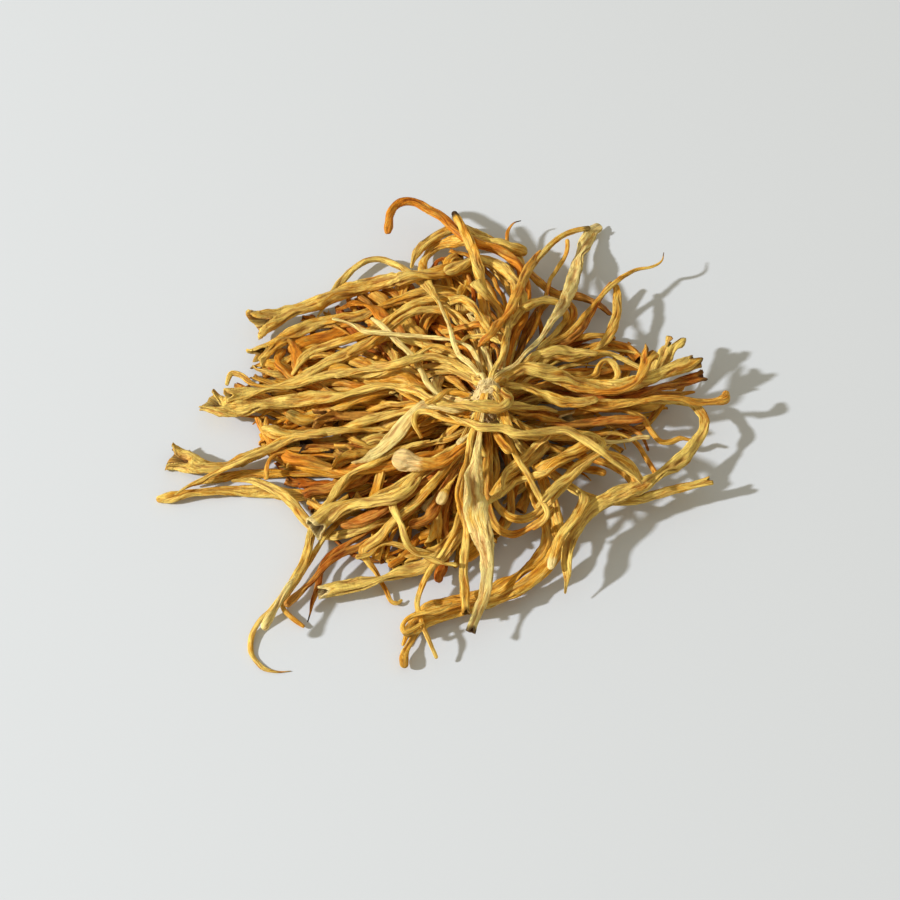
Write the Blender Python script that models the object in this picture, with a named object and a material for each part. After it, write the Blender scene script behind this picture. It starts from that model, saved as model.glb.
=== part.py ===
"""Dried cordyceps: one clump of flattened stalks grown from a single pale woolly base.

The clump lies base up. Its stalks splay out from the base all round, cross over one another and come
down to the table. Lengths are in millimetres until a mesh is made, then metres. +Z is up, the clump is
seen from the -Y side, and the middle of its footprint ends up at the origin.
"""

import math
from collections import namedtuple

import bpy
import numpy as np

COLLECTION = "dried_cordyceps"

# Sizes of the clump, in millimetres
MM = 0.001
BASE_WIDTH = 9.4
BASE_DEPTH = 11.0
BASE_BOTTOM = 1.2
BASE_CROWN = 1.4
LOWEST_START, HIGHEST_START = 2.2, 17.5
NECK, NECK_SPREAD, NECKED = 1.15, 0.09, 45
GAP = 0.31
STEEPEST = 0.55
SAG = 0.35

# Where the routes below were seen from
PICTURE_SIDE = 900
PICTURE_SCALE = 0.24
EYE_DISTANCE = 550.0
EYE_ELEVATION = math.radians(54)
BASE_COLUMN, BASE_ROW, BASE_SEEN_HEIGHT = 489, 391, 19.0

# Cross-section and stations of a stalk
SIDES = 6
FLATNESS = 0.56
LEAN_THICKER = 1.12
SEGMENT_PIXELS = 21.0
TURN_PIXELS = 18.0
FEWEST_SEGMENTS = 6

# Grid of the heap's height while it is laid
CELL = 0.3
FIELD = 240.0

# Colours of the dried stalks and of the wool, sRGB
PALE = (0.89, 0.78, 0.50)
GOLD = (0.85, 0.65, 0.29)
ORANGE = (0.76, 0.49, 0.19)
BROWN = (0.58, 0.35, 0.14)
WOOL = (0.79, 0.73, 0.59)

Stalk = namedtuple("Stalk", "colour widths end_height route")

# The stalks from the bottom of the heap to the top. Widths run from the base to the end, the end height
# is above the table, and the route lists picture columns and rows from beside the base outward.
STALKS = (
    Stalk(BROWN, (2.0, 2.6, 2.2), 1.6,
          "440,446 400,450 360,462 330,470 300,474 272,473 245,474 218,479 195,485"),
    Stalk(GOLD, (2.2, 3.2, 3.2, 2.4), 1.4,
          "450,456 415,464 380,475 350,486 325,494 300,495 270,492 240,491 210,491 185,495 160,499"),
    Stalk(GOLD, (2.2, 2.6, 2.8, 4.6), 2.6,
          "450,432 410,432 375,434 345,439 318,442 295,443 278,445 262,451 245,459 228,466 205,467 "
          "186,462 170,457"),
    Stalk(BROWN, (1.8, 2.4, 2.0), 4.0, "540,436 575,440 610,435 641,427"),
    Stalk(BROWN, (2.0, 2.4, 2.2), 4.0, "530,376 548,357 568,344 588,338 604,335"),
    Stalk(BROWN, (2.0, 2.4, 2.4), 3.0, "520,350 530,325 545,303 562,295 580,297 598,304 609,313"),
    Stalk(GOLD, (2.2, 3.0, 3.2, 4.0), 3.5,
          "474,340 468,312 455,294 436,290 415,295 396,302 378,309 355,317 330,321 305,328 285,338 "
          "268,350 254,359"),
    Stalk(PALE, (1.4, 1.6, 1.6), 3.0,
          "462,335 450,312 438,297 422,284 408,272 396,265 384,260 371,260 357,266 345,277 336,289 "
          "326,303 318,316"),
    Stalk(GOLD, (2.0, 2.4, 3.2, 3.4, 3.8), 5.0,
          "512,345 518,320 516,300 508,283 497,268 484,261 465,267 440,272 412,277 385,281 360,287 "
          "335,296 310,305 285,314 268,320 254,324"),
    Stalk(GOLD, (1.6, 2.0, 2.2), 4.0,
          "515,335 521,305 522,280 517,258 505,247 490,241 474,234 460,228 445,231 430,241 418,251 "
          "412,266"),
    Stalk(ORANGE, (1.6, 1.9, 1.9, 1.7), 10.0,
          "510,345 524,315 526,288 518,265 500,251 480,244 465,238 455,230 443,218 430,210 417,203 "
          "403,202 393,208 389,219 388,231"),
    Stalk(GOLD, (1.8, 2.2, 3.2, 2.2), 9.0, "490,340 486,315 482,290 478,266 471,246 463,229 455,214"),
    Stalk(PALE, (1.4, 1.8, 2.4), 6.0, "505,350 508,330 519,312 533,305 547,300 557,301"),
    Stalk(GOLD, (1.8, 2.4, 2.8, 2.4), 7.0,
          "545,360 572,358 592,352 605,341 613,328 617,312 617,297 616,287"),
    Stalk(GOLD, (1.4, 1.5, 1.4, 0.8), 7.5,
          "540,352 565,336 582,319 594,304 603,293 614,284 624,276 637,270 650,267 658,264 663,258 "
          "664,253"),
    Stalk(ORANGE, (1.6, 2.2, 3.6), 9.5, "570,388 612,392 640,384 655,370 666,354 677,339"),
    Stalk(BROWN, (2.0, 3.0, 2.8), 8.5, "530,386 555,393 582,399 612,398 642,392 668,386 690,380 704,375"),
    Stalk(ORANGE, (1.6, 1.6, 1.4), 6.0,
          "540,416 570,413 600,410 620,410 635,414 645,421 652,432 660,441 671,442 681,438 690,440"),
    Stalk(GOLD, (1.6, 2.4, 2.4), 6.8,
          "520,445 545,468 572,488 600,500 625,502 647,497 668,491 690,486 711,480"),
    Stalk(ORANGE, (2.0, 2.8, 3.2, 3.0), 1.6,
          "516,452 530,485 542,513 548,540 537,560 517,576 495,590 470,599 445,604 425,612 411,626 "
          "404,643"),
    Stalk(ORANGE, (2.0, 2.8, 3.2, 2.8), 1.3,
          "528,450 543,482 555,512 558,545 545,568 525,585 502,598 475,607 448,613 425,621 408,632"),
    Stalk(GOLD, (1.9, 1.9, 1.9, 2.2, 3.6, 4.3, 3.2, 2.6), 3.0,
          "535,398 575,403 620,401 660,401 685,402 698,410 704,421 702,433 694,446 682,459 667,471 "
          "648,482 625,492 604,502 586,515 574,532 568,551 567,572 565,591"),
    Stalk(GOLD, (1.8, 2.4, 2.6), 2.5, "530,455 560,480 583,495 580,510 568,526 558,543 551,566"),
    Stalk(GOLD, (1.6, 1.6, 1.3), 1.5,
          "440,462 405,480 370,500 345,516 326,535 313,556 300,575 289,592 283,606 291,618 303,626"),
    Stalk(BROWN, (1.8, 1.9, 1.9, 1.2), 2.5,
          "440,480 405,505 372,528 348,544 330,556 320,572 317,590 312,606 308,621"),
    Stalk(GOLD, (1.9, 2.2, 2.2, 2.3, 2.4, 2.2, 1.7, 1.4, 0.9), 0.7,
          "450,438 425,444 402,450 383,460 366,469 351,479 339,490 327,505 316,522 309,542 304,562 "
          "294,580 284,596 271,609 259,622 252,636 251,651 258,664 270,671 290,671"),
    Stalk(PALE, (2.0, 2.8, 3.2, 3.4), 5.0,
          "455,462 436,475 418,487 400,495 380,501 360,504 340,509 325,516 311,526"),
    Stalk(BROWN, (2.2, 3.4, 3.4), 3.5, "450,465 425,482 402,498 382,510 362,520 345,524"),
    Stalk(GOLD, (1.6, 1.8, 2.4, 2.6, 1.4, 1.0), 1.5,
          "445,470 418,500 395,520 376,540 363,551 369,563 378,575 384,588 390,600 397,603 401,600"),
    Stalk(GOLD, (1.8, 2.2, 2.6, 2.8), 2.0,
          "478,470 472,500 464,525 450,548 430,563 408,571 388,577 364,583 340,588 319,593"),
    Stalk(GOLD, (1.3, 1.4, 1.4, 1.2), 3.5,
          "468,480 461,510 450,540 436,562 425,580 418,597 418,613 425,629 431,645 436,657"),
    Stalk(PALE, (1.4, 1.6, 1.6, 1.4), 4.0,
          "450,450 425,468 405,486 393,502 398,518 403,534 410,547 424,557 440,563 455,565"),
    Stalk(GOLD, (2.0, 2.0, 1.8), 4.0,
          "490,460 489,482 496,503 509,516 526,519 541,510 553,497 570,480 588,463 600,450"),
    Stalk(ORANGE, (2.0, 2.2, 1.8), 3.0, "486,475 487,505 496,527 511,537 528,533 541,524 551,513"),
    Stalk(GOLD, (2.0, 2.6, 2.6), 5.0, "520,436 540,438 546,446 535,457 519,468 504,480 493,493"),
    Stalk(GOLD, (1.8, 2.0, 2.0), 4.0, "545,434 580,435 601,442 597,452 580,464 564,478 549,493 538,506"),
    Stalk(GOLD, (2.0, 3.0, 4.2, 4.0), 5.0, "540,435 566,436 590,441 577,452 557,463 536,474"),
    Stalk(GOLD, (1.8, 1.8, 2.6, 3.2, 3.0, 2.4, 1.6, 1.3), 4.0,
          "463,362 445,352 425,345 405,339 388,338 372,342 355,350 338,358 322,366 305,375 288,383 "
          "268,387 251,383 241,375 231,374 227,384"),
    Stalk(GOLD, (1.8, 2.4, 2.2), 7.0,
          "478,345 466,325 452,313 436,309 420,311 405,317 392,326 379,336 365,345 350,353"),
    Stalk(GOLD, (1.8, 2.6, 2.4, 2.2), 4.0,
          "487,340 479,318 466,303 450,297 432,299 414,304 398,312 385,322 371,331 354,338 335,343 "
          "318,349 303,359 293,373"),
    Stalk(GOLD, (1.8, 2.2, 2.4, 3.0), 4.0,
          "455,412 430,410 410,411 395,414 378,417 360,423 345,429 325,432 300,434 280,434 266,430"),
    Stalk(PALE, (1.4, 1.8, 2.4, 3.2, 3.0, 2.0), 8.0,
          "458,410 440,406 427,404 415,412 405,423 397,433 388,443 377,453 365,460 354,462"),
    Stalk(PALE, (2.2, 3.6, 4.8), 7.0, "470,440 455,454 438,462 420,464 404,461"),
    Stalk(PALE, (1.6, 1.7, 1.6), 9.0, "460,402 440,398 429,386 419,368 409,353 396,340 384,328 373,319"),
    Stalk(GOLD, (1.8, 1.9, 1.7, 1.2), 9.0,
          "508,431 492,427 474,424 460,422 447,419 436,415 425,412 417,414 414,421 416,429 421,437"),
    Stalk(GOLD, (1.6, 2.0, 2.2), 3.0,
          "470,440 469,455 465,470 459,486 459,500 464,516 467,532 465,550 463,570 465,593 467,614"),
    Stalk(PALE, (1.8, 3.2, 5.2, 4.2, 2.8, 2.4, 2.8), 3.0,
          "478,445 476,462 473,480 474,500 478,520 483,540 487,560 487,580 483,598 477,614 471,632"),
    Stalk(GOLD, (1.5, 1.5, 1.4), 3.0,
          "506,434 511,445 516,456 523,468 531,482 539,496 546,508 547,516 541,524 534,528"),
    Stalk(ORANGE, (2.2, 3.0, 3.4), 8.0, "520,411 535,414 550,418 565,422 575,424"),
    Stalk(GOLD, (2.0, 2.8, 2.4, 1.8, 2.2), 7.0,
          "513,433 525,435 540,435 552,433 565,430 576,434 586,442 598,450 612,455 626,461 635,470 "
          "640,478"),
    Stalk(GOLD, (2.2, 2.0, 2.0, 2.2, 3.0, 3.6, 3.6), 5.0,
          "503,409 488,407 470,405 450,405 438,403 428,398 417,392 404,388 390,386 375,387 360,391 "
          "345,395 325,397 305,399 285,402 262,404 240,407 222,407 207,400"),
    Stalk(GOLD, (1.9, 2.0, 2.0, 2.2, 2.0, 2.2, 3.0), 6.0,
          "470,368 460,364 448,361 430,357 414,360 400,366 388,371 375,373 360,373 345,373 330,375 "
          "315,378 300,383 280,388 260,391 242,394 225,397"),
    Stalk(ORANGE, (1.9, 2.4, 2.6, 1.9, 1.8, 2.2), 9.0,
          "523,386 536,391 548,397 562,402 580,405 600,407 620,404 640,401 660,398 680,399 698,402 "
          "714,402 724,400 726,394"),
    Stalk(GOLD, (2.2, 2.4, 1.8, 1.8, 1.6), 10.0,
          "530,361 540,355 552,351 566,350 580,352 595,353 608,354 620,358 631,363 641,368"),
    Stalk(GOLD, (2.4, 3.0, 3.8, 3.8, 3.2, 2.8, 3.0), 10.4,
          "520,369 538,370 556,376 578,383 600,387 620,387 640,381 660,374 680,367 698,361"),
    Stalk(PALE, (1.4, 1.6, 2.0, 2.8, 2.8, 3.0), 2.2,
          "522,357 530,349 540,340 547,331 553,322 560,311 567,299 571,285 577,266 584,246 591,233 "
          "598,228"),
    Stalk(GOLD, (1.6, 1.7, 1.7, 1.8), 2.4,
          "505,345 508,322 514,302 521,288 528,274 536,261 546,250 556,241 567,234 579,230 588,228"),
    Stalk(PALE, (1.2, 1.2, 1.3, 1.5), 10.0,
          "474,352 462,344 450,340 436,338 418,336 400,335 380,333 366,331 356,326 347,323 334,319"),
    Stalk(PALE, (2.0, 1.9, 1.4, 1.0), 13.0, "470,364 460,355 455,347 452,338 449,326 444,313 438,301"),
)


def clear_scene():
    """Start from an empty scene."""
    for thing in list(bpy.data.objects):
        bpy.data.objects.remove(thing)


def placed(column, row, height):
    """Where the sight line through a picture position passes the given height."""
    across = (column - PICTURE_SIDE / 2) * PICTURE_SCALE
    upward = (PICTURE_SIDE / 2 - row) * PICTURE_SCALE
    level, drop = math.cos(EYE_ELEVATION), math.sin(EYE_ELEVATION)
    share = (EYE_DISTANCE * drop - height) / (EYE_DISTANCE * drop - upward * level)
    return np.stack([across * share, share * (EYE_DISTANCE * level + upward * drop) - EYE_DISTANCE * level], -1)


def seen(point, height):
    """The picture position of a point."""
    level, drop = math.cos(EYE_ELEVATION), math.sin(EYE_ELEVATION)
    depth = EYE_DISTANCE + point[1] * level - height * drop
    scale = EYE_DISTANCE / (PICTURE_SCALE * depth)
    column = PICTURE_SIDE / 2 + point[0] * scale
    return np.array([column, PICTURE_SIDE / 2 - (point[1] * drop + height * level) * scale])


BASE_CENTRE = placed(BASE_COLUMN, BASE_ROW, BASE_SEEN_HEIGHT)


def curved(points, steps=12):
    """A Catmull-Rom curve through the points."""
    padded = np.vstack([2 * points[0] - points[1], points, 2 * points[-1] - points[-2]])
    share = np.linspace(0, 1, steps, endpoint=False)[:, None]
    pieces = []
    for a, b, c, d in zip(padded, padded[1:], padded[2:], padded[3:]):
        pieces.append(0.5 * (2 * b + (c - a) * share + (2 * a - 5 * b + 4 * c - d) * share**2
                             + (3 * b - a - 3 * c + d) * share**3))
    return np.vstack(pieces + [points[-1:]])


def stations(path):
    """Picture positions along a curve, closer together where it turns."""
    step = np.diff(path, axis=0)
    length = np.linalg.norm(step, axis=1)
    heading = np.unwrap(np.arctan2(step[:, 1], step[:, 0]))
    turn = np.abs(np.diff(heading, prepend=heading[0]))
    effort = np.concatenate([[0], np.cumsum(length + TURN_PIXELS * turn)])
    count = max(FEWEST_SEGMENTS, round(effort[-1] / SEGMENT_PIXELS))
    wanted = np.linspace(0, effort[-1], count + 1)
    return np.stack([np.interp(wanted, effort, path[:, axis]) for axis in (0, 1)], -1)


def share_along(points):
    """Length from the first point to each point, over the whole length."""
    length = np.concatenate([[0], np.cumsum(np.linalg.norm(np.diff(points, axis=0), axis=1))])
    return length / length[-1]


def widths_along(widths, share, length, necked):
    """Width at each share of the length, through evenly spaced widths, with a drawn-in end."""
    width = np.interp(share, np.linspace(0, 1, len(widths)), widths)
    width[-1] *= 0.72
    return np.minimum(width, NECK + NECK_SPREAD * share * length) if necked else width


def footprint(plan, height, width):
    """Dense samples under a stalk: place, centre height and half thickness there."""
    places, levels, halves = [], [], []
    for k in range(len(plan) - 1):
        run = plan[k + 1] - plan[k]
        length = max(float(np.linalg.norm(run)), 1e-6)
        side = np.array([-run[1], run[0]]) / length
        count = max(3, int(length / (0.5 * CELL)))
        share = np.linspace(0, 1, count)[:, None]
        across = np.linspace(-1, 1, 13)[None, :]
        wide = width[k] * (1 - share) + width[k + 1] * share
        at = plan[k] + share * run
        places.append((at[:, None, :] + (0.5 * wide * across)[..., None] * side).reshape(-1, 2))
        level = height[k] * (1 - share) + height[k + 1] * share
        levels.append((level + 0 * across).ravel())
        halves.append((0.5 * LEAN_THICKER * FLATNESS * wide * np.sqrt(1 - 0.98 * across**2)).ravel())
    return places, levels, halves


def cells(places):
    """Grid cells of the given places."""
    return tuple(np.clip(((places + FIELD / 2) / CELL).astype(int), 0, int(FIELD / CELL) - 1).T)


def spread(field):
    """Each cell's height made the highest of its neighbourhood."""
    grown = field.copy()
    for axis in (0, 1):
        grown = np.maximum(grown, np.maximum(np.roll(grown, 1, axis), np.roll(grown, -1, axis)))
    return grown


def lowest_heights(plan, height, width, field):
    """The least centre height at each station that clears everything laid before."""
    needs = []
    for places, halves in zip(*[footprint(plan, height, width)[i] for i in (0, 2)]):
        below = field[cells(places)]
        needs.append(np.where(below > 0, below + GAP + halves, halves).max())
    needs = np.array(needs)
    return np.maximum(np.append(needs, needs[-1]), np.insert(needs, 0, needs[0]))


def eased(height, plan):
    """Heights raised until no stretch is too steep and none sags sharply between two rests."""
    gaps = np.linalg.norm(np.diff(plan, axis=0), axis=1)
    for _ in range(3):
        for k in range(1, len(height)):
            height[k] = max(height[k], height[k - 1] - STEEPEST * gaps[k - 1])
        for k in range(len(height) - 2, -1, -1):
            height[k] = max(height[k], height[k + 1] - STEEPEST * gaps[k])
        height[1:-1] = np.maximum(height[1:-1], 0.5 * (height[:-2] + height[2:]) - SAG)
    return height


def kept_off_base(plan, width):
    """Stations after the first pushed out of the base."""
    reach = np.array([BASE_WIDTH, BASE_DEPTH]) / 2 + GAP + 0.5 * width[:, None]
    away = (plan - BASE_CENTRE) / reach
    inside = np.linalg.norm(away, axis=1)
    inside[0] = 1
    return BASE_CENTRE + (plan - BASE_CENTRE) / np.minimum(inside, 1)[:, None]


def laid(stalk, start_height, necked, field):
    """Plan places, heights and widths of a stalk laid on the heap."""
    route = np.array([[float(part) for part in pair.split(",")] for pair in stalk.route.split()])
    toward = placed(*route[0], start_height) - BASE_CENTRE
    half = np.array([BASE_WIDTH, BASE_DEPTH]) / 2
    clear = GAP + 0.2 * (NECK if necked else stalk.widths[0])
    start = BASE_CENTRE + toward / np.linalg.norm(toward / half) + clear * toward / np.linalg.norm(toward)
    picture = stations(curved(np.vstack([seen(start, start_height), route])))
    share = share_along(picture)
    wanted = stalk.end_height + (start_height - stalk.end_height) * (1 - share) ** 1.5
    height = wanted.copy()
    length = np.linalg.norm(np.diff(picture, axis=0), axis=1).sum() * PICTURE_SCALE
    width = widths_along(stalk.widths, share, length, necked)
    for _ in range(5):
        plan = placed(picture[:, 0], picture[:, 1], height)
        plan[0] = start
        plan = kept_off_base(plan, width)
        floor = lowest_heights(plan, height, width, field)
        height = 0.4 * height + 0.6 * eased(np.maximum(wanted, floor), plan)
    plan = placed(picture[:, 0], picture[:, 1], height)
    plan[0] = start
    plan = kept_off_base(plan, width)
    height = eased(np.maximum(height, lowest_heights(plan, height, width, field)), plan)
    return plan, height, width


def lay_heap():
    """Every stalk laid in turn, as points and widths, and the height of the highest start."""
    size = int(FIELD / CELL)
    field = np.zeros((size, size))
    heap = []
    for k, stalk in enumerate(STALKS):
        start_height = LOWEST_START + (HIGHEST_START - LOWEST_START) * k / (len(STALKS) - 1)
        plan, height, width = laid(stalk, start_height, k < NECKED, spread(field))
        for places, levels, halves in zip(*footprint(plan, height, width)):
            np.maximum.at(field, cells(places), levels + halves)
        heap.append((np.column_stack([plan, height]), width))
    return heap


def make_material(name, colour, roughness):
    """A plain dielectric material of one colour."""
    material = bpy.data.materials.new(name)
    material.use_nodes = True
    shader = material.node_tree.nodes["Principled BSDF"]
    linear = [c / 12.92 if c <= 0.04045 else ((c + 0.055) / 1.055) ** 2.4 for c in colour]
    shader.inputs["Base Color"].default_value = (*linear, 1)
    shader.inputs["Roughness"].default_value = roughness
    shader.inputs["Metallic"].default_value = 0
    return material


def make_section(collection):
    """The flattened hexagon that every stalk is drawn with, one unit wide."""
    data = bpy.data.curves.new("stalk_section", "CURVE")
    data.dimensions = "2D"
    ring = data.splines.new("POLY")
    ring.points.add(SIDES - 1)
    for k, point in enumerate(ring.points):
        angle = -2 * math.pi * k / SIDES
        point.co = (0.5 * math.cos(angle), 0.5 * FLATNESS * math.sin(angle), 0, 1)
    ring.use_cyclic_u = True
    section = bpy.data.objects.new("stalk_section", data)
    section.hide_render = True
    collection.objects.link(section)
    return section


def make_stalk(name, points, widths, section, material, collection):
    """One stalk: the section run along its points, flat side up."""
    data = bpy.data.curves.new(name, "CURVE")
    data.dimensions = "3D"
    data.twist_mode = "Z_UP"
    data.bevel_mode = "OBJECT"
    data.bevel_object = section
    data.use_fill_caps = True
    line = data.splines.new("POLY")
    line.points.add(len(points) - 1)
    for spot, place, width in zip(line.points, points, widths):
        spot.co = (*(place * MM), 1)
        spot.radius = width * MM
    data.materials.append(material)
    collection.objects.link(bpy.data.objects.new(name, data))


def make_base(centre, top, material, collection):
    """The woolly base: a lumpy upright mass, narrower underneath, with a low crown."""
    around, levels = 18, 9
    verts = []
    for j in range(levels):
        up = j / (levels - 1)
        for k in range(around):
            angle = 2 * math.pi * k / around
            swell = 0.93 - 0.25 * (1 - up) ** 2 - 0.30 * max(0, up - 0.8) ** 1 / 0.2 * 0.9
            lump = 0.05 * math.sin(3 * angle + 5 * up) + 0.02 * math.sin(7 * angle - 9 * up)
            reach = swell + lump * (0.5 + up * (1 - up))
            verts.append((centre[0] + 0.5 * BASE_WIDTH * reach * math.cos(angle),
                          centre[1] + 0.5 * BASE_DEPTH * reach * math.sin(angle),
                          BASE_BOTTOM + (top - BASE_BOTTOM) * up))
    verts += [(*centre, BASE_BOTTOM - 0.4), (*centre, top + 0.5)]
    faces = []
    for j in range(levels - 1):
        for k in range(around):
            a, b = j * around + k, j * around + (k + 1) % around
            faces.append((a, b, b + around, a + around))
    last = (levels - 1) * around
    for k in range(around):
        following = (k + 1) % around
        faces.append((len(verts) - 2, following, k))
        faces.append((len(verts) - 1, last + k, last + following))
    data = bpy.data.meshes.new("base")
    data.from_pydata([tuple(c * MM for c in vert) for vert in verts], [], faces)
    data.materials.append(material)
    collection.objects.link(bpy.data.objects.new("base", data))


def centre(collection):
    """Stand the clump with the middle of its footprint at the origin."""
    bpy.context.view_layer.update()
    graph = bpy.context.evaluated_depsgraph_get()
    corners = []
    for thing in collection.objects:
        if not thing.hide_render:
            mesh = thing.evaluated_get(graph).to_mesh()
            corners += [vertex.co.copy() for vertex in mesh.vertices]
    low, high = np.min(corners, axis=0), np.max(corners, axis=0)
    shift = (-(low[0] + high[0]) / 2, -(low[1] + high[1]) / 2, -low[2])
    for thing in collection.objects:
        thing.location = shift


def main():
    """Lay the stalks, make the solids and centre the clump on the origin."""
    clear_scene()
    collection = bpy.data.collections.new(COLLECTION)
    bpy.context.scene.collection.children.link(collection)
    colours = (("pale_stalk", PALE), ("gold_stalk", GOLD), ("orange_stalk", ORANGE), ("brown_stalk", BROWN))
    materials = {colour: make_material(name, colour, 0.62) for name, colour in colours}
    section = make_section(collection)
    heap = lay_heap()
    for k, (stalk, (points, width)) in enumerate(zip(STALKS, heap)):
        make_stalk(f"stalk_{k + 1:02d}", points, width, section, materials[stalk.colour], collection)
    top = max(points[0, 2] for points, _ in heap) + BASE_CROWN
    make_base(BASE_CENTRE, top, make_material("wool", WOOL, 0.9), collection)
    centre(collection)


main()
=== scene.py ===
"""Looks of one clump of dried cordyceps, built around its fixed frame.

Every stalk of the frame is skinned with a wrinkled, twisted and folded surface that follows the frame's own
centre line, ends in its own way, and fades into wool where it leaves the base. The base gets a lumpy woolly
mat, and thin twigs and short under-stalks fill the heap. Lengths are in millimetres until a mesh is made,
then metres. +Z is up and the clump is seen from the -Y side.
"""

import logging
import math
from dataclasses import dataclass, field
from enum import Enum

import bpy
import numpy as np
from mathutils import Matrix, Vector, noise
from mathutils.bvhtree import BVHTree
from mathutils.kdtree import KDTree


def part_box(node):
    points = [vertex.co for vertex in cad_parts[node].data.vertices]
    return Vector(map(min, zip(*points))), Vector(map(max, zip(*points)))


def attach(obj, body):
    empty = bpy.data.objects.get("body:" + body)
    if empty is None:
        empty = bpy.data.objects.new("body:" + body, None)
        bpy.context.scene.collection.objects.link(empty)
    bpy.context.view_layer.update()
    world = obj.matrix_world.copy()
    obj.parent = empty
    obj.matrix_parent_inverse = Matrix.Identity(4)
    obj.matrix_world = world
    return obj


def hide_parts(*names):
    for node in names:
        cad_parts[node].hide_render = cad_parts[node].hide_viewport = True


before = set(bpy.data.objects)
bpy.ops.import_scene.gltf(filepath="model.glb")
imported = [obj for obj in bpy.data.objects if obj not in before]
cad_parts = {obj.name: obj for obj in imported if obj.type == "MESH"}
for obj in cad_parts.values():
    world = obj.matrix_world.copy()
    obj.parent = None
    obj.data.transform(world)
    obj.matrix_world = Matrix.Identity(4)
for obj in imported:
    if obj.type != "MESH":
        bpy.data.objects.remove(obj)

MM = 0.001
UP = np.array([0.0, 0.0, 1.0])
BODY = "root"
LOG = logging.getLogger("dried_cordyceps")

Colour = tuple[float, float, float]


def linear(red: int, green: int, blue: int) -> Colour:
    """The linear colour of a display colour.

    Args:
        red, green, blue: The display colour, 0 to 255.

    Returns:
        The same colour as linear numbers from 0 to 1.
    """
    parts = [part / 255 for part in (red, green, blue)]
    return tuple(p / 12.92 if p <= 0.04045 else ((p + 0.055) / 1.055) ** 2.4 for p in parts)


def unit(vectors: np.ndarray) -> np.ndarray:
    """The vectors along the last axis, each made one long."""
    return vectors / np.maximum(np.linalg.norm(vectors, axis=-1, keepdims=True), 1e-9)


def eased(value: np.ndarray) -> np.ndarray:
    """Values held to 0 to 1 and eased at both ends."""
    held = np.clip(value, 0.0, 1.0)
    return held * held * (3.0 - 2.0 * held)


class Wander:
    """A smooth random curve of about unit size."""

    def __init__(self, rng: np.random.Generator, reach: float, parts: int = 3) -> None:
        """Draw the curve.

        Args:
            rng: Where the random numbers come from.
            reach: About how far apart its bends are.
            parts: How many waves it is made of.
        """
        self.waves = 2.0 * reach * 0.58 ** np.arange(parts) * rng.uniform(0.85, 1.15, parts)
        self.sizes = 0.7 * 0.62 ** np.arange(parts)
        self.phases = rng.uniform(0, 2 * math.pi, parts)

    def __call__(self, at: np.ndarray) -> np.ndarray:
        """The curve's values at the given lengths."""
        angles = 2 * math.pi * np.asarray(at)[..., None] / self.waves + self.phases
        return (np.sin(angles) * self.sizes).sum(-1)


class Ending(Enum):
    """How the free end of a stalk looks."""

    ROUND = "closed and rounded"
    TAPER = "drawn out to a thin tip"
    CLUB = "swollen and rounded"
    KNOB = "a plump woolly knob"
    CUT = "broken off flat"
    TORN = "torn open around a hollow"
    LEAFY = "split into torn flaps"


@dataclass(frozen=True)
class Sight:
    """Where the clump is seen from, and where the picture's positions lie in space.

    Attributes:
        side: Side of the picture, in pixels.
        scale: Millimetres a pixel covers at the aim.
        distance: From the eye to the aim.
        elevation: Height of the eye above the table, as an angle.
        aim: The point in the middle of the picture.
    """

    side: float = 900.0
    scale: float = 0.24
    distance: float = 550.0
    elevation: float = math.radians(54)
    aim: tuple[float, float, float] = (0.796, -4.750, -0.517)

    def eye(self) -> np.ndarray:
        """Where the eye is."""
        back = np.array([0.0, -math.cos(self.elevation), math.sin(self.elevation)])
        return np.array(self.aim) + self.distance * back

    def place(self, spots: np.ndarray, heights: np.ndarray) -> np.ndarray:
        """Points on the sight lines through picture positions.

        Args:
            spots: Columns and rows in the picture, in the last axis.
            heights: Height above the table of each point.

        Returns:
            The points, with x, y and z in the last axis.
        """
        right = (spots[..., :1] - self.side / 2) * self.scale
        above = (self.side / 2 - spots[..., 1:2]) * self.scale
        rise = np.array([0.0, math.sin(self.elevation), math.cos(self.elevation)])
        eye = self.eye()
        line = np.array(self.aim) + right * np.array([1.0, 0.0, 0.0]) + above * rise - eye
        share = (np.asarray(heights)[..., None] - eye[2]) / line[..., 2:3]
        return eye + share * line

    def seen(self, points: np.ndarray) -> np.ndarray:
        """Columns and rows in the picture of points in space."""
        away = points - np.array(self.aim)
        ahead = np.array([0.0, math.cos(self.elevation), -math.sin(self.elevation)])
        rise = np.array([0.0, math.sin(self.elevation), math.cos(self.elevation)])
        size = self.distance / ((self.distance + away @ ahead) * self.scale)
        return np.stack([self.side / 2 + away[..., 0] * size, self.side / 2 - (away @ rise) * size], -1)

    def make_camera(self) -> None:
        """The camera that sees the picture's frame."""
        data = bpy.data.cameras.new("picture_camera")
        data.sensor_width = 36.0
        data.lens = data.sensor_width * self.distance / (self.side * self.scale)
        data.clip_start, data.clip_end = 0.01, 20.0
        camera = bpy.data.objects.new("picture_camera", data)
        camera.location = self.eye() * MM
        camera.rotation_euler = (math.pi / 2 - self.elevation, 0.0, 0.0)
        bpy.context.scene.collection.objects.link(camera)
        bpy.context.scene.camera = camera


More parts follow.
